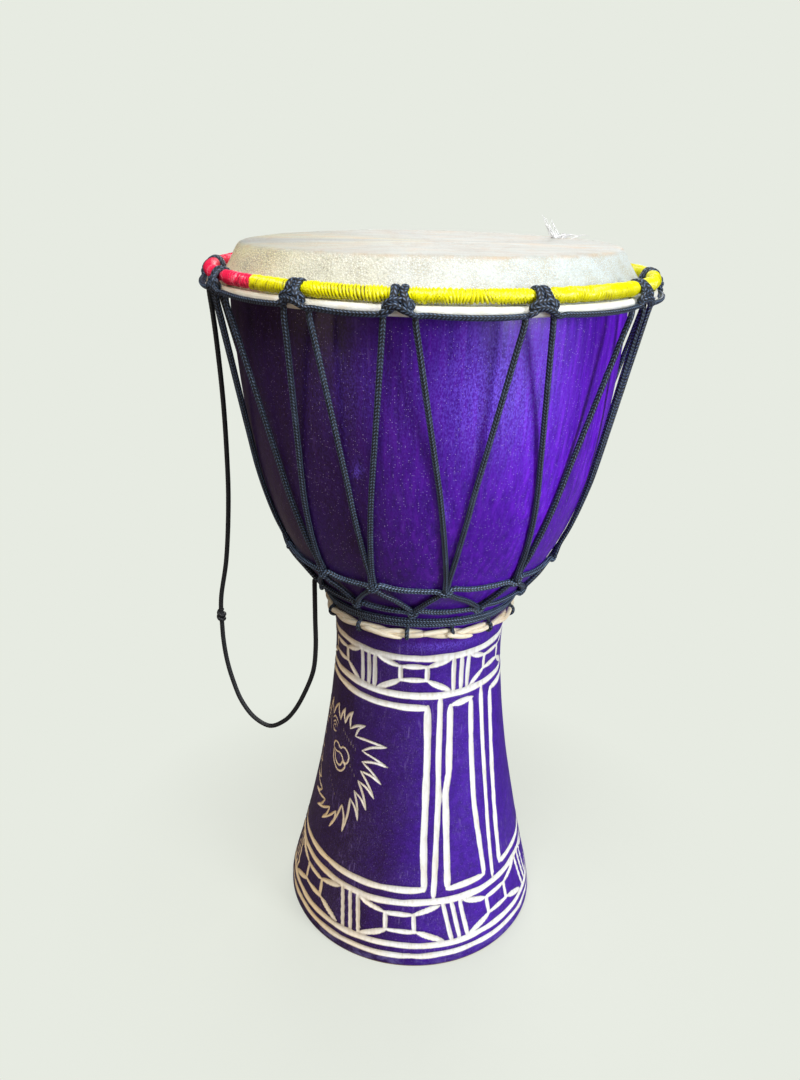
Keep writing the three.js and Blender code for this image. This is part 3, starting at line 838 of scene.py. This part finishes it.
EYE_ARCS = [
    [(-14, 35), (-8, 40), (0, 37)], [(-12, 32), (-7, 36), (-2, 33)], [(-12, 30), (-8, 26), (-3, 28)],
    [(-10, 30), (-7, 33), (-5, 30)], [(-36, 33), (-31, 38), (-24, 35)], [(-35, 31), (-30, 34), (-25, 31)],
    [(-34, 28), (-30, 25), (-26, 28)], [(-21, 38), (-19, 30), (-15, 22)]]
# Rows of ticks on the cheeks: first, last, how many, and half a tick's height.
WHISKERS = [((9, 36), (27, 26), 7, 1.3), ((24, 8), (30, 2), 3, 1.2), ((-7, -11), (10, -28), 7, 0.8),
            ((-26, 4), (-18, -8), 5, 0.8)]


def on_shell(points):
    """[across, up] from the lion's centre, in mm, to [angle, height] on the shell."""
    p = np.asarray(points, float)
    z = LION_Z + p[:, 1]
    return np.stack([LION_ANGLE + np.degrees(p[:, 0] / outside(z)), z], -1)


def lion_cuts():
    def thin(points, width=LION_WIDTH, **options):
        return cut(on_shell(points), width=width, wobble=0.12, **options)
    tips, hollows = np.array(MANE_TIPS, float), np.array(MANE_HOLLOWS, float)
    for i, tip in enumerate(tips):
        before, after = hollows[i - 1], hollows[i]
        outward = tip / np.linalg.norm(tip)
        sideways = np.array([outward[1], -outward[0]])
        # Both edges of a lock bow the same way, so that it sweeps round.
        yield thin(curved([before, (before + tip) / 2 - 1.6 * sideways, tip], 8), ends=0.4)
        yield thin(curved([after, (after + tip) / 2 - 2.2 * sideways, tip], 8), ends=0.4)
    for outline in (NOSE, MUZZLE, LIP):
        yield thin(curved(outline), width=1.9, ends=0.8)
    for arc in EYE_ARCS:
        yield thin(curved(arc), width=1.6)
    for start, end, count, reach in WHISKERS:
        for t in np.linspace(0, 1, count):
            x, y = np.array(start) * (1 - t) + np.array(end) * t
            yield thin([(x - 0.3, y + reach), (x + 0.3, y - reach)], width=1.1)


FAR = 9.0     # mm past a cut's edge, beyond which the distance to it doesn't matter
FAR_TURN = 9  # the same in degrees
CUTS = [*ring_cuts(), *panel_cuts(),
        *band_cuts(UPPER_BARS, 253.5, 284.5, 0.2, 5.3, 8.7, 278, 265.5),
        *band_cuts(LOWER_BARS, 23.5, 58.5, 3.2, 4.4, 6.7, 50, 34.5), *lion_cuts()]


def carve_field(angle, z):
    """Distance inside the nearest cut's edge, in mm: positive in the cut, negative outside it."""
    field = np.full(angle.shape, -FAR)
    radius = outside(z)
    for angles, heights, halves in CUTS:
        near = np.flatnonzero((z > heights.min() - FAR) & (z < heights.max() + FAR))
        centre = (angles.max() + angles.min()) / 2
        turn = signed(angle[near] - centre)
        spread = (angles.max() - angles.min()) / 2 + FAR_TURN
        near, turn = near[np.abs(turn) < spread], turn[np.abs(turn) < spread]
        if not len(near):
            continue
        best = np.full(len(near), -FAR)
        arc = math.radians(1) * radius[near]
        for (a0, z0, h0), (a1, z1, h1) in zip(zip(angles[:-1], heights[:-1], halves[:-1]),
                                              zip(angles[1:], heights[1:], halves[1:])):
            close = np.flatnonzero(np.abs(z[near] - (z0 + z1) / 2) < abs(z1 - z0) / 2 + FAR)
            if not len(close):
                continue
            x0 = (a0 - centre - turn[close]) * arc[close]
            x1 = (a1 - centre - turn[close]) * arc[close]
            y0, y1 = z0 - z[near[close]], z1 - z[near[close]]
            dx, dy = x1 - x0, y1 - y0
            t = np.clip(-(x0 * dx + y0 * dy) / np.maximum(dx * dx + dy * dy, 1e-9), 0, 1)
            distance = np.hypot(x0 + t * dx, y0 + t * dy)
            best[close] = np.maximum(best[close], h0 + (h1 - h0) * t - distance)
        field[near] = np.maximum(field[near], best)
    return field


def lopsided(angle, z):
    """How far the hand-cut rim stands out on its left, in mm."""
    return 3.2 * leftness(angle) ** 2 * np.clip((z - 450) / 110, 0, 1)


# ---- shell ----
def shell_profile():
    """[radius, height] round the section, from the foot's inner edge up the outside and down inside."""
    heights = np.concatenate([np.arange(3.0, 300, 2.3), np.linspace(302, 588, 44), np.linspace(590, 598, 9)])
    outer = np.stack([outside(heights), heights], -1)
    inner_heights = np.concatenate([np.linspace(594, 300, 26), np.linspace(285, 6, 16)])
    inner = np.stack([inside(inner_heights), inner_heights], -1)
    foot = [(105, 1.2), (107, 0), (113.5, 0), (115.8, 1.0)]
    rim = [(132.6, 598.2), (131.5, 597.0)]
    return np.vstack([foot, outer, rim, inner])


# Where pale dust and painted highlight lie: angle, height, spread round, spread up, and how much.
DUST_AND_HIGHLIGHT = [
    (17, 520, 15, 45, 0.85), (36, 440, 8, 60, 0.1), (-20, 520, 12, 30, 0.15), (120, 480, 25, 50, 0.6),
    (-130, 470, 30, 60, 0.5), (14, 297.5, 26, 3.2, 0.8), (-20, 463, 1.5, 4, 1.0), (4.5, 434, 1.3, 9, 0.9),
    (17, 527, 1.8, 2.5, 0.9)]
CARVED = (5, 300)        # the carving lies between these heights
SHELL_COLUMNS = 250      # before the quads at the cuts are halved


def is_outer(radius, z):
    """Whether a point is nearer to the shell's outer surface than to its inner one."""
    return radius > (outside(z) + inside(z)) / 2


def by_the_lion(angle, z):
    return (np.abs(signed(angle - LION_ANGLE)) < 46) & (np.abs(z - LION_Z) < 66)


def add_shell():
    columns = SHELL_COLUMNS
    angles = np.arange(columns) * 360 / columns
    profile = shell_profile()
    points = polar(angles[None], profile[:, :1], profile[:, 1:])
    obj = make_object("shell", points, grid_faces(len(profile), columns, wrap_rows=True), WOOD)
    mesh = obj.data
    refine(mesh, lambda field, angle, z: field > -2.2)
    refine(mesh, lambda field, angle, z: (field > -1.3) & by_the_lion(angle, z))
    angle, radius, z = cylindrical(mesh)
    outer = is_outer(radius, z)
    field = np.where(outer, carve_field(angle, z), -FAR)
    field[(z < CARVED[0]) | (z > CARVED[1])] = -FAR
    deep = np.clip(field / 2.4, 0, 1)
    depth = CUT_DEPTH * np.sqrt(deep * (2 - deep)) * np.clip(field / 0.5, 0, 1)
    # The turned surface isn't true: broad waves, gentle flats from the adze and a soft lip beside each cut.
    waves = 0.35 * np.sin(np.radians(3 * angle) + z / 60) + 0.22 * np.sin(np.radians(7 * angle) - z / 33)
    flats = 0.12 * np.sin(np.radians(19 * angle) + 2.2 * np.sin(z / 50))
    lip = 0.22 * np.exp(-((field + 0.6) / 0.5) ** 2)
    calm = np.clip((596 - z) / 20, 0, 1) * np.clip(z / 12, 0, 1)
    inner_waves = 0.5 * np.sin(np.radians(5 * angle) + z / 21) + 0.4 * np.sin(np.radians(11 * angle) - z / 14)
    moved = np.where(outer, (waves + flats) * calm + lip - depth, inner_waves * calm) + lopsided(angle, z)
    place(mesh, angle, radius + moved, z - 2.8 * leftness(angle) ** 2 * np.clip((z - 560) / 34, 0, 1))
    set_attribute(mesh, "carve", field)
    raw = np.where(outer & (z > 2), np.clip((z - 590) / 4, 0, 1), 1.0)
    set_attribute(mesh, "raw", raw)
    set_attribute(mesh, "stem", np.clip((308 - z) / 14, 0, 1))
    # Pale speckle on the bowl's shoulder, partly dust and rubbing and partly a painted highlight, thickest a
    # little to the right of the front; a painted highlight also runs along the stem's top under the cane.
    dust_and_highlight = sum(much * np.exp(-((angle - turn) / wide) ** 2 - ((z - height) / tall) ** 2)
                for turn, height, wide, tall, much in DUST_AND_HIGHLIGHT)
    set_attribute(mesh, "dust_and_highlight", np.clip(dust_and_highlight + 0.1, 0, 1))
    stand_in(obj, "shell", "shell")


def cylindrical(mesh):
    """The mesh's points as angles in degrees, and radii and heights in mm."""
    co = np.empty(len(mesh.vertices) * 3)
    mesh.vertices.foreach_get("co", co)
    x, y, z = co.reshape(-1, 3).T / MM
    return np.degrees(np.arctan2(x, -y)), np.hypot(x, y), z


def place(mesh, angle, radius, z):
    mesh.vertices.foreach_set("co", (polar(angle, radius, z) * MM).ravel())
    mesh.update()


def refine(mesh, wanted):
    """Halves the quads where a cut passes, and puts new points back on the round surface."""
    angle, radius, z = cylindrical(mesh)
    low = is_outer(radius, z) & (z > CARVED[0]) & (z < CARVED[1])
    chosen = np.zeros(len(z), bool)
    chosen[low] = wanted(carve_field(angle[low], z[low]), angle[low], z[low])
    bm = bmesh.new()
    bm.from_mesh(mesh)
    edges = [e for e in bm.edges if chosen[e.verts[0].index] and chosen[e.verts[1].index]]
    bmesh.ops.subdivide_edges(bm, edges=edges, cuts=1, use_grid_fill=True)
    bm.to_mesh(mesh)
    bm.free()
    angle, radius, z = cylindrical(mesh)
    outer = is_outer(radius, z) & (z > 3) & (z < CARVED[1])
    place(mesh, angle, np.where(outer, outside(z), radius), z)


# ---- drumhead ----
SKIN_COLUMNS = 620
INNER_ROWS = 13          # rows of the profile on the underside, where the fold's lumps don't reach


def drumhead_profile():
    """[radius, height, struck, folded] from the top's centre, down the collar, round the fold and back."""
    top = [(r, 600.0, 1.0, 0.0) for r in np.linspace(0.5, 132, 46)]
    crease = [(134.5, 599.95, 1, 0), (136.3, 599.7, 0.9, 0), (137.6, 599.2, 0.7, 0), (138.5, 598.5, 0.45, 0),
              (139.2, 597.6, 0.2, 0), (139.9, 596.6, 0.05, 0)]
    t = np.linspace(0.05, 1, 30)
    sag = 0.9 * np.sin(math.pi * t)
    collar = np.stack([139.3 + (157.2 - 139.3) * t - 0.7 * sag, 597.6 + (571.5 - 597.6) * t - 0.8 * sag,
                       0 * t, 0 * t], -1)

    def round_flesh_ring(first, last, count, radius, folded):
        turn = np.radians(np.linspace(first, last, count))
        return np.stack([FLESH_R + radius * np.cos(turn), FLESH_Z + radius * np.sin(turn), 0 * turn,
                         folded(turn)], -1)
    fold = round_flesh_ring(190, 415, 26, 3.95, lambda turn: np.clip((turn - turn[0]) / 0.5, 0, 1))
    under = round_flesh_ring(415, 200, 16, 2.9, lambda turn: 0 * turn + 1)
    below = [(156.5, 570.0, 0, 0.6), (148, 583.0, 0, 0.3), (139.6, 595.4, 0, 0.2), (137.2, 598.2, 0, 0),
             (133, 598.9, 0, 0)]
    flat = [(r, 598.9, 1.0, 0.0) for r in np.linspace(120, 0.5, 8)]
    return np.vstack([top, crease, collar, fold, under, below, flat])


def add_drumhead():
    columns = SKIN_COLUMNS
    angles = np.arange(columns) * 360 / columns
    profile = drumhead_profile()
    rows, z, struck, folded = profile.T[..., None]
    turn = np.radians(angles)[None]
    outer_side = (np.arange(len(profile)) < len(profile) - INNER_ROWS)[:, None]
    x, y = rows * np.sin(turn), -rows * np.cos(turn)
    # Slight hollows in the struck skin, an uneven bearing edge, and pleats where the collar meets the ring.
    dish = (-0.7 * np.exp(-(rows / 95) ** 2) + 0.16 * np.sin(x / 17 + 1) * np.sin(y / 23)
            + 0.12 * np.sin((x + y) / 11))
    edge_wave = 0.45 * smooth_noise(turn, 3) + 0.2 * smooth_noise(3 * turn, 8)
    near_edge = np.exp(-((rows - 139) / 6) ** 2)
    down = np.clip((rows - 139) / 18, 0, 1) * (1 - folded)
    pleats = 0.5 * down ** 1.5 * smooth_noise(14 * turn, 12, 2) + 0.25 * down * smooth_noise(30 * turn, 15, 2)
    lumps = folded * (0.28 * smooth_noise(9 * turn, 21, 2) + 0.18 * smooth_noise(27 * turn, 23, 2))
    lift = struck * dish + near_edge * 0.35 * edge_wave
    left = leftness(angles[None]) ** 2
    shoulder = np.clip((z - 574) / 20, 0, 1) * np.clip(rows / 138, 0, 1) ** 2
    radius = rows + near_edge * edge_wave + pleats + lumps * outer_side + 3.4 * left * shoulder
    height = z + lift - 0.5 * pleats + 0.4 * lumps * (z < 571) - 2.4 * left * shoulder
    shape = (len(profile), columns)
    # Painted warm light on the left of the collar and the fold, a little uneven.
    painted_warm_light = np.clip(-np.sin(turn) * 1.9 - 0.5 + 0.35 * smooth_noise(turn * 2, 6), 0, 1)
    attributes = {"struck": np.clip(struck * (0.85 + 0.3 * smooth_noise(turn * 2, 5)), 0, 1),
                  "folded": np.broadcast_to(folded, shape), "painted_warm_light": np.broadcast_to(painted_warm_light, shape)}
    points = polar(angles[None], radius, height)
    head = make_object("drumhead", points, tube_faces(*shape), SKIN, attributes)
    stand_in(head, "skin", "drumhead")


def add_hair_tuft():
    """Long white hairs that the shaving missed, at the back right of the head."""
    rng = np.random.default_rng(11)
    root = np.array([103.0, 62.0, 599.2])
    paths = []
    for _ in range(11):
        start = root + [rng.uniform(-3, 3), rng.uniform(-4, 4), 0]
        lean, reach = rng.uniform(-0.8, -0.4), rng.uniform(8, 21)
        tip = start + [lean * reach, rng.uniform(-2, 2), reach]
        paths.append([start, (start + tip) / 2 + rng.uniform(-2, 2, 3), tip])
    for _ in range(16):
        start = root + [rng.uniform(-6, 10), rng.uniform(-6, 8), 0.2]
        away, reach = rng.uniform(-0.3, 1.3), rng.uniform(12, 30)
        tip = start + [math.cos(away) * reach, math.sin(away) * reach, rng.uniform(0.6, 3)]
        tip[:2] *= min(1, 136 / np.hypot(*tip[:2]))
        paths.append([start, (start + tip) / 2 + [rng.uniform(-3, 3), rng.uniform(-3, 3), 2.2], tip])
    tuft = cord_mesh("goat_hair_tuft", paths, radius=0.55, material=HAIR, step=1.5, sides=5,
                     taper=lambda t: 1 - 0.75 * t, raised=0)
    stand_in(tuft, "skin")


# ---- crown: steel rods, yarn and hitches ----
KNOT_ANGLES = np.array(KNOTS)[None]


def yarn_wrap(name, start, end, material, seed, pitch):
    rng = np.random.default_rng(seed)
    length = math.radians(end - start) * CROWN_R
    turns = int(length / pitch)
    rows, sides = 6 * turns, 18
    bunch = np.repeat(rng.uniform(-1, 1, turns // 2 + 2), 2)[:turns + 2]
    fat = 0.5 * rng.uniform(-1, 1, turns + 2) + 0.7 * bunch
    shade = np.clip(0.5 + 0.3 * rng.uniform(-1, 1, turns + 2) + 0.3 * bunch, 0, 1)
    lean = rng.uniform(-0.6, 1.2, turns // 9 + 3)
    turn = np.arange(sides) * 2 * math.pi / sides
    s = np.linspace(0, turns, rows + 1)[:, None]
    slant = np.interp(s[:, 0], np.arange(len(lean)) * 9, lean)[:, None]
    uneven = s + 0.16 * smooth_noise(s * 1.1, seed + 4, 2)
    phase = uneven + turn[None] / (2 * math.pi) + slant * np.sin(turn)[None] * 2
    whole = np.clip(np.floor(phase).astype(int), 0, turns + 1)
    crest = np.clip(np.sin(math.pi * (phase - np.floor(phase))), 0, 1)
    loose = 0.22 * smooth_noise(s / 31, seed, 2)
    angle = start + (end - start) * s / turns
    from_knot = signed(angle - KNOT_ANGLES)
    squeezed = np.exp(-(from_knot / 1.9) ** 2).sum(axis=1, keepdims=True)
    reach = CROWN_WRAP - 0.9 + 1.55 * crest ** 0.8 + 0.34 * fat[whole] + loose - 1.8 * squeezed
    points = polar(angle, CROWN_R + reach * np.cos(turn)[None], CROWN_Z + reach * np.sin(turn)[None])
    attributes = {"crest": crest, "shade": shade[whole]}
    return make_object(name, points, tube_faces(rows + 1, sides), material, attributes)


def local_path(angle, points):
    """Points [along the ring, radius and height from its centre] in mm, set round the drum."""
    p = np.asarray(points, float)
    radius = CROWN_R + p[:, 1]
    return polar(angle + np.degrees(p[:, 0] / CROWN_R), radius, CROWN_Z + p[:, 2])


HITCH_RADIUS = 2.25
# One hitch: along the ring, and radius and height from the ring's centre.
HITCH_PATH = [
    (-11, 6.4, -10.6), (-8.2, 6.8, -9.6), (-5.4, 6.2, -8.2), (-3.2, 5.7, -4.6), (-2.7, 5.6, -1.4),
    (-2.6, 4.6, 1.8), (-2.6, 1.7, 4.1), (-2.4, -2.8, 3.7), (-2.3, -5.4, -0.5), (0, -6.2, -2.2),
    (2.3, -5.4, -0.5), (2.4, -2.8, 3.7), (2.6, 1.7, 4.1), (2.8, 4.7, 1.7), (3.4, 7.1, -1.5),
    (4.2, 7.7, -4.3), (5.0, 6.4, -7.2), (7.0, 5.6, -6.7), (7.0, 6.2, -4.2), (3.3, 6.5, -2.5),
    (-0.4, 7.4, -2.4), (-4.4, 7.0, -3.4), (-7.0, 5.9, -5.2), (-7.0, 5.8, -7.4), (-4.2, 7.6, -6.6),
    (-0.8, 8.5, -6.1), (3.2, 8.6, -7.4), (6.4, 7.6, -9.4), (10.2, 6.8, -11.2)]


def off_ring(path):
    """Directions straight out from the crown's ring, in which the hitches are pulled flat."""
    x, y, z = path.T
    outward = 1 - CROWN_R / np.hypot(x, y)
    out = np.stack([x * outward, y * outward, z - CROWN_Z], -1)
    return out / np.maximum(np.linalg.norm(out, axis=1, keepdims=True), 1e-6)


def run_lift(angle):
    """The crown rope's runs sit higher, against the yarn, at the left."""
    return 2.2 * leftness(np.asarray(angle) + 12)


def add_crown():
    yellow = yarn_wrap("crown_wrap_yellow", WRAP_JOINS[0] + 0.1, WRAP_JOINS[1] - 0.1, YELLOW,
                       seed=31, pitch=2.25)
    stand_in(yellow, "yarn_yellow", "crown_wrap_yellow")
    red = yarn_wrap("crown_wrap_red", WRAP_JOINS[1] + 0.1, WRAP_JOINS[0] + 359.9, RED,
                    seed=37, pitch=2.9)
    stand_in(red, "yarn_red", "crown_wrap_red")
    for name in ("crown_ring", "flesh_ring"):
        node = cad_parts[name]
        node.data.materials.clear()
        node.data.materials.append(STEEL)
    for i, angle in enumerate(KNOTS):
        following = after(KNOTS, i)
        jitter = RANDOM.uniform(-0.35, 0.35, (len(HITCH_PATH), 3)) * [1, 0.5, 1]
        hitch = np.array(HITCH_PATH) + jitter
        hitch[:, 2] += run_lift(angle) * np.clip((-4 - hitch[:, 2]) / 5, 0, 1)
        hitch = local_path(angle, hitch)
        run_angles = np.linspace(angle + 5.2, following - 2.0, 8)
        sag = 0.9 * np.sin(np.linspace(0, math.pi, 8))
        tuck = np.array([0, 0, 0, 0, 0, 0, -0.6, -2.4])
        run = polar(run_angles, RUN_R + 0.1 + tuck, RUN_Z - 0.2 - sag + run_lift(run_angles))
        add_rope(f"crown_hitch_{i + 1:02d}", [np.vstack([hitch, run])], radius=HITCH_RADIUS, step=0.8,
                 pressed=off_ring, raised=0.045)


# ---- lacing: V's down the bowl, diamonds at the waist ----
def strand(knot, side, crossing, corner, over):
    """One leg: from behind the crown's run, straight to the bowl, along it and into the weave."""
    start = knot + side * LEG_SPREAD
    top_r, top_z = LACING_TOP
    total = top_z - CROSSING_Z

    def angle_at(z):
        return start + (crossing - start) * (top_z - z) / total
    arc = math.degrees(1 / CROWN_R)
    head = [polar(knot + side * 6.5 * arc, top_r - 1.5, 570.6),
            polar(start - side * 0.15, top_r + 0.2, 567.6)]
    top = polar(start, top_r + 0.3, top_z)
    touching = off_shell(angle_at(TANGENT_Z), TANGENT_Z, ROPE_LIFT)
    free = [top + (touching - top) * t for t in (0.12, 0.35, 0.6, 0.82)]
    lying = [off_shell(angle_at(z), z, ROPE_LIFT) for z in (430, 410, 392, 378)]
    hop = 2.3 if over else 0.0
    turn = corner - crossing
    weave = [off_shell(crossing - side * 0.2, CROSSING_Z + 1, ROPE_LIFT + hop * 0.9),
             off_shell(crossing + turn * 0.18, CROSSING_Z - 6, ROPE_LIFT + hop * 0.7),
             off_shell(crossing + turn * 0.5, (CROSSING_Z + CORNER_Z) / 2, ROPE_LIFT + 0.4),
             off_shell(corner - turn * 0.12, CORNER_Z + 3, ROPE_LIFT + 0.4),
             off_shell(corner, CORNER_Z - 1, ROPE_LIFT),
             off_shell(corner + turn * 0.1, CORNER_Z - 5, ROPE_LIFT)]
    return [*head, top, *free, touching, *lying, *weave]


def add_lacing():
    paths = []
    for i, (knot, crossing, corner) in enumerate(zip(KNOTS, CROSSINGS, CORNERS)):
        paths.append(strand(knot, 1, crossing, after(CORNERS, i), over=True))
        paths.append(strand(after(KNOTS, i), -1, crossing, corner, over=False))
    add_rope("lacing_rope", paths)


def woven_row(name, base_z, nodes, sag, lift):
    """A cord round the bowl that hops over each node of the weave, low on its left and high on its right."""
    points = []
    over = ((-2.6, -1.6, lift * 0.2), (-1.1, -2.4, lift), (0.9, -1.2, lift * 1.1), (2.1, 1.6, lift * 0.45))
    for i, node in enumerate(nodes):
        wide = after(nodes, i) - node
        for turn, z, hop in over:
            points.append(off_shell(node + turn, base_z + z, ROPE_LIFT + hop))
        for t in (0.3, 0.5, 0.7):
            drop = sag * math.sin(math.pi * t) - 1.2 * (0.5 - t)
            points.append(off_shell(node + wide * t, base_z - drop, ROPE_LIFT))
    add_closed_rope(name, points)


def add_closed_rope(name, points):
    """A rope whose ends meet: it overlaps itself by a few points so that the join is hidden."""
    # The rows and base runs take the lighter copy of the cord, with painted light.
    add_rope(name, [[*points, *points[:2]]], material=PAINTED_LIGHT_CORD)


def add_weave():
    woven_row("weave_row_upper", CROSSING_Z, CROSSINGS, 1.5, 2.6)
    woven_row("weave_row_lower", CORNER_Z, CORNERS, 1.2, 2.2)
    for z, name, seed in zip(BASE_RUNS_Z, ("base_run_upper", "base_run_lower"), (41, 43)):
        angles = np.arange(-180, 180, 7.5)
        wander = 0.8 * smooth_noise(np.radians(angles), seed)
        droop = 4.5 * np.sin(np.radians(angles)) ** 2
        points = [off_shell(a, z + w - d, ROPE_RADIUS + 0.2) for a, w, d in zip(angles, wander, droop)]
        add_closed_rope(name, points)


# ---- cane hoop at the waist: two strands twisted together ----
CANE_LAY = 62.0          # mm along the hoop for one turn of the strands
CANE_STRAND = 2.4
LOOP_RADIUS = 1.7


def cane_centre(angle):
    """Radius and height of the cane's centre: it sits close under the ropes and droops at the sides."""
    return CANE_R + 0.6, CANE_Z + 2.3 - 5.0 * np.sin(np.radians(angle)) ** 2


def add_base_ring():
    angles = np.linspace(0, 360, 181)[:-1]
    radius, z = cane_centre(angles)
    along = np.radians(angles) * radius
    turns = round(2 * math.pi * radius / CANE_LAY)
    twist = 2 * math.pi * turns * angles / 360
    paths = []
    for strand_turn in (0, math.pi):
        a = twist + strand_turn
        wander = 0.25 * np.sin(along / 13 + strand_turn)
        ring = polar(angles, radius + (1.5 + wander) * np.cos(a), z + (1.6 - wander) * np.sin(a))
        paths.append(np.vstack([ring, ring[:2]]))
    hoop = cane_mesh("base_ring", paths)
    stand_in(hoop, "cane", "base_ring")
    ends = [[(-34, 1.0, 2.8), (-27, 0, 3.6), (-20, -1.4, 4.0), (-14, -3.0, 3.0), (-10.6, -3.8, 2.0)],
            [(14, 0.5, 3.5), (19, -0.6, 4.0), (24, -2.2, 3.8), (29, -3.6, 2.6), (31.5, -4.2, 1.6)]]
    tails = []
    for end in ends:
        centres = [cane_centre(a) for a, _, _ in end]
        tails.append(np.array([polar(a, r + out, z + up) for (a, up, out), (r, z) in zip(end, centres)]))
    tips = cane_mesh("base_ring_ends", tails, taper=lambda t: 1 - 0.62 * t ** 3)
    stand_in(tips, "cane")
    for i, angle in enumerate(LOOPS):
        path = loop_path(angle, *cane_centre(angle))
        add_rope(f"base_loop_{i + 1:02d}", [path], radius=LOOP_RADIUS, step=0.8)


def loop_path(angle, radius, z):
    """Cord that comes down from behind the base runs, passes tight round the cane and tucks up behind it."""
    clear = CANE_RADIUS + 0.5
    turns = np.radians([75, 40, 0, -40, -80, -112])
    round_cane = [polar(angle, radius + clear * math.cos(t), z + clear * math.sin(t)) for t in turns]
    above = [off_shell(angle + 1.5, z + 18, 1.2), off_shell(angle + 0.5, z + 10, 1.6)]
    return [*above, *round_cane]


def cane_mesh(name, paths, taper=None):
    return cord_mesh(name, paths, radius=CANE_STRAND, material=CANE, step=1.6, sides=14, taper=taper,
                     raised=0)


add_carry_cord()
add_shell()
add_drumhead()
add_hair_tuft()
add_crown()
add_lacing()
add_weave()
add_base_ring()
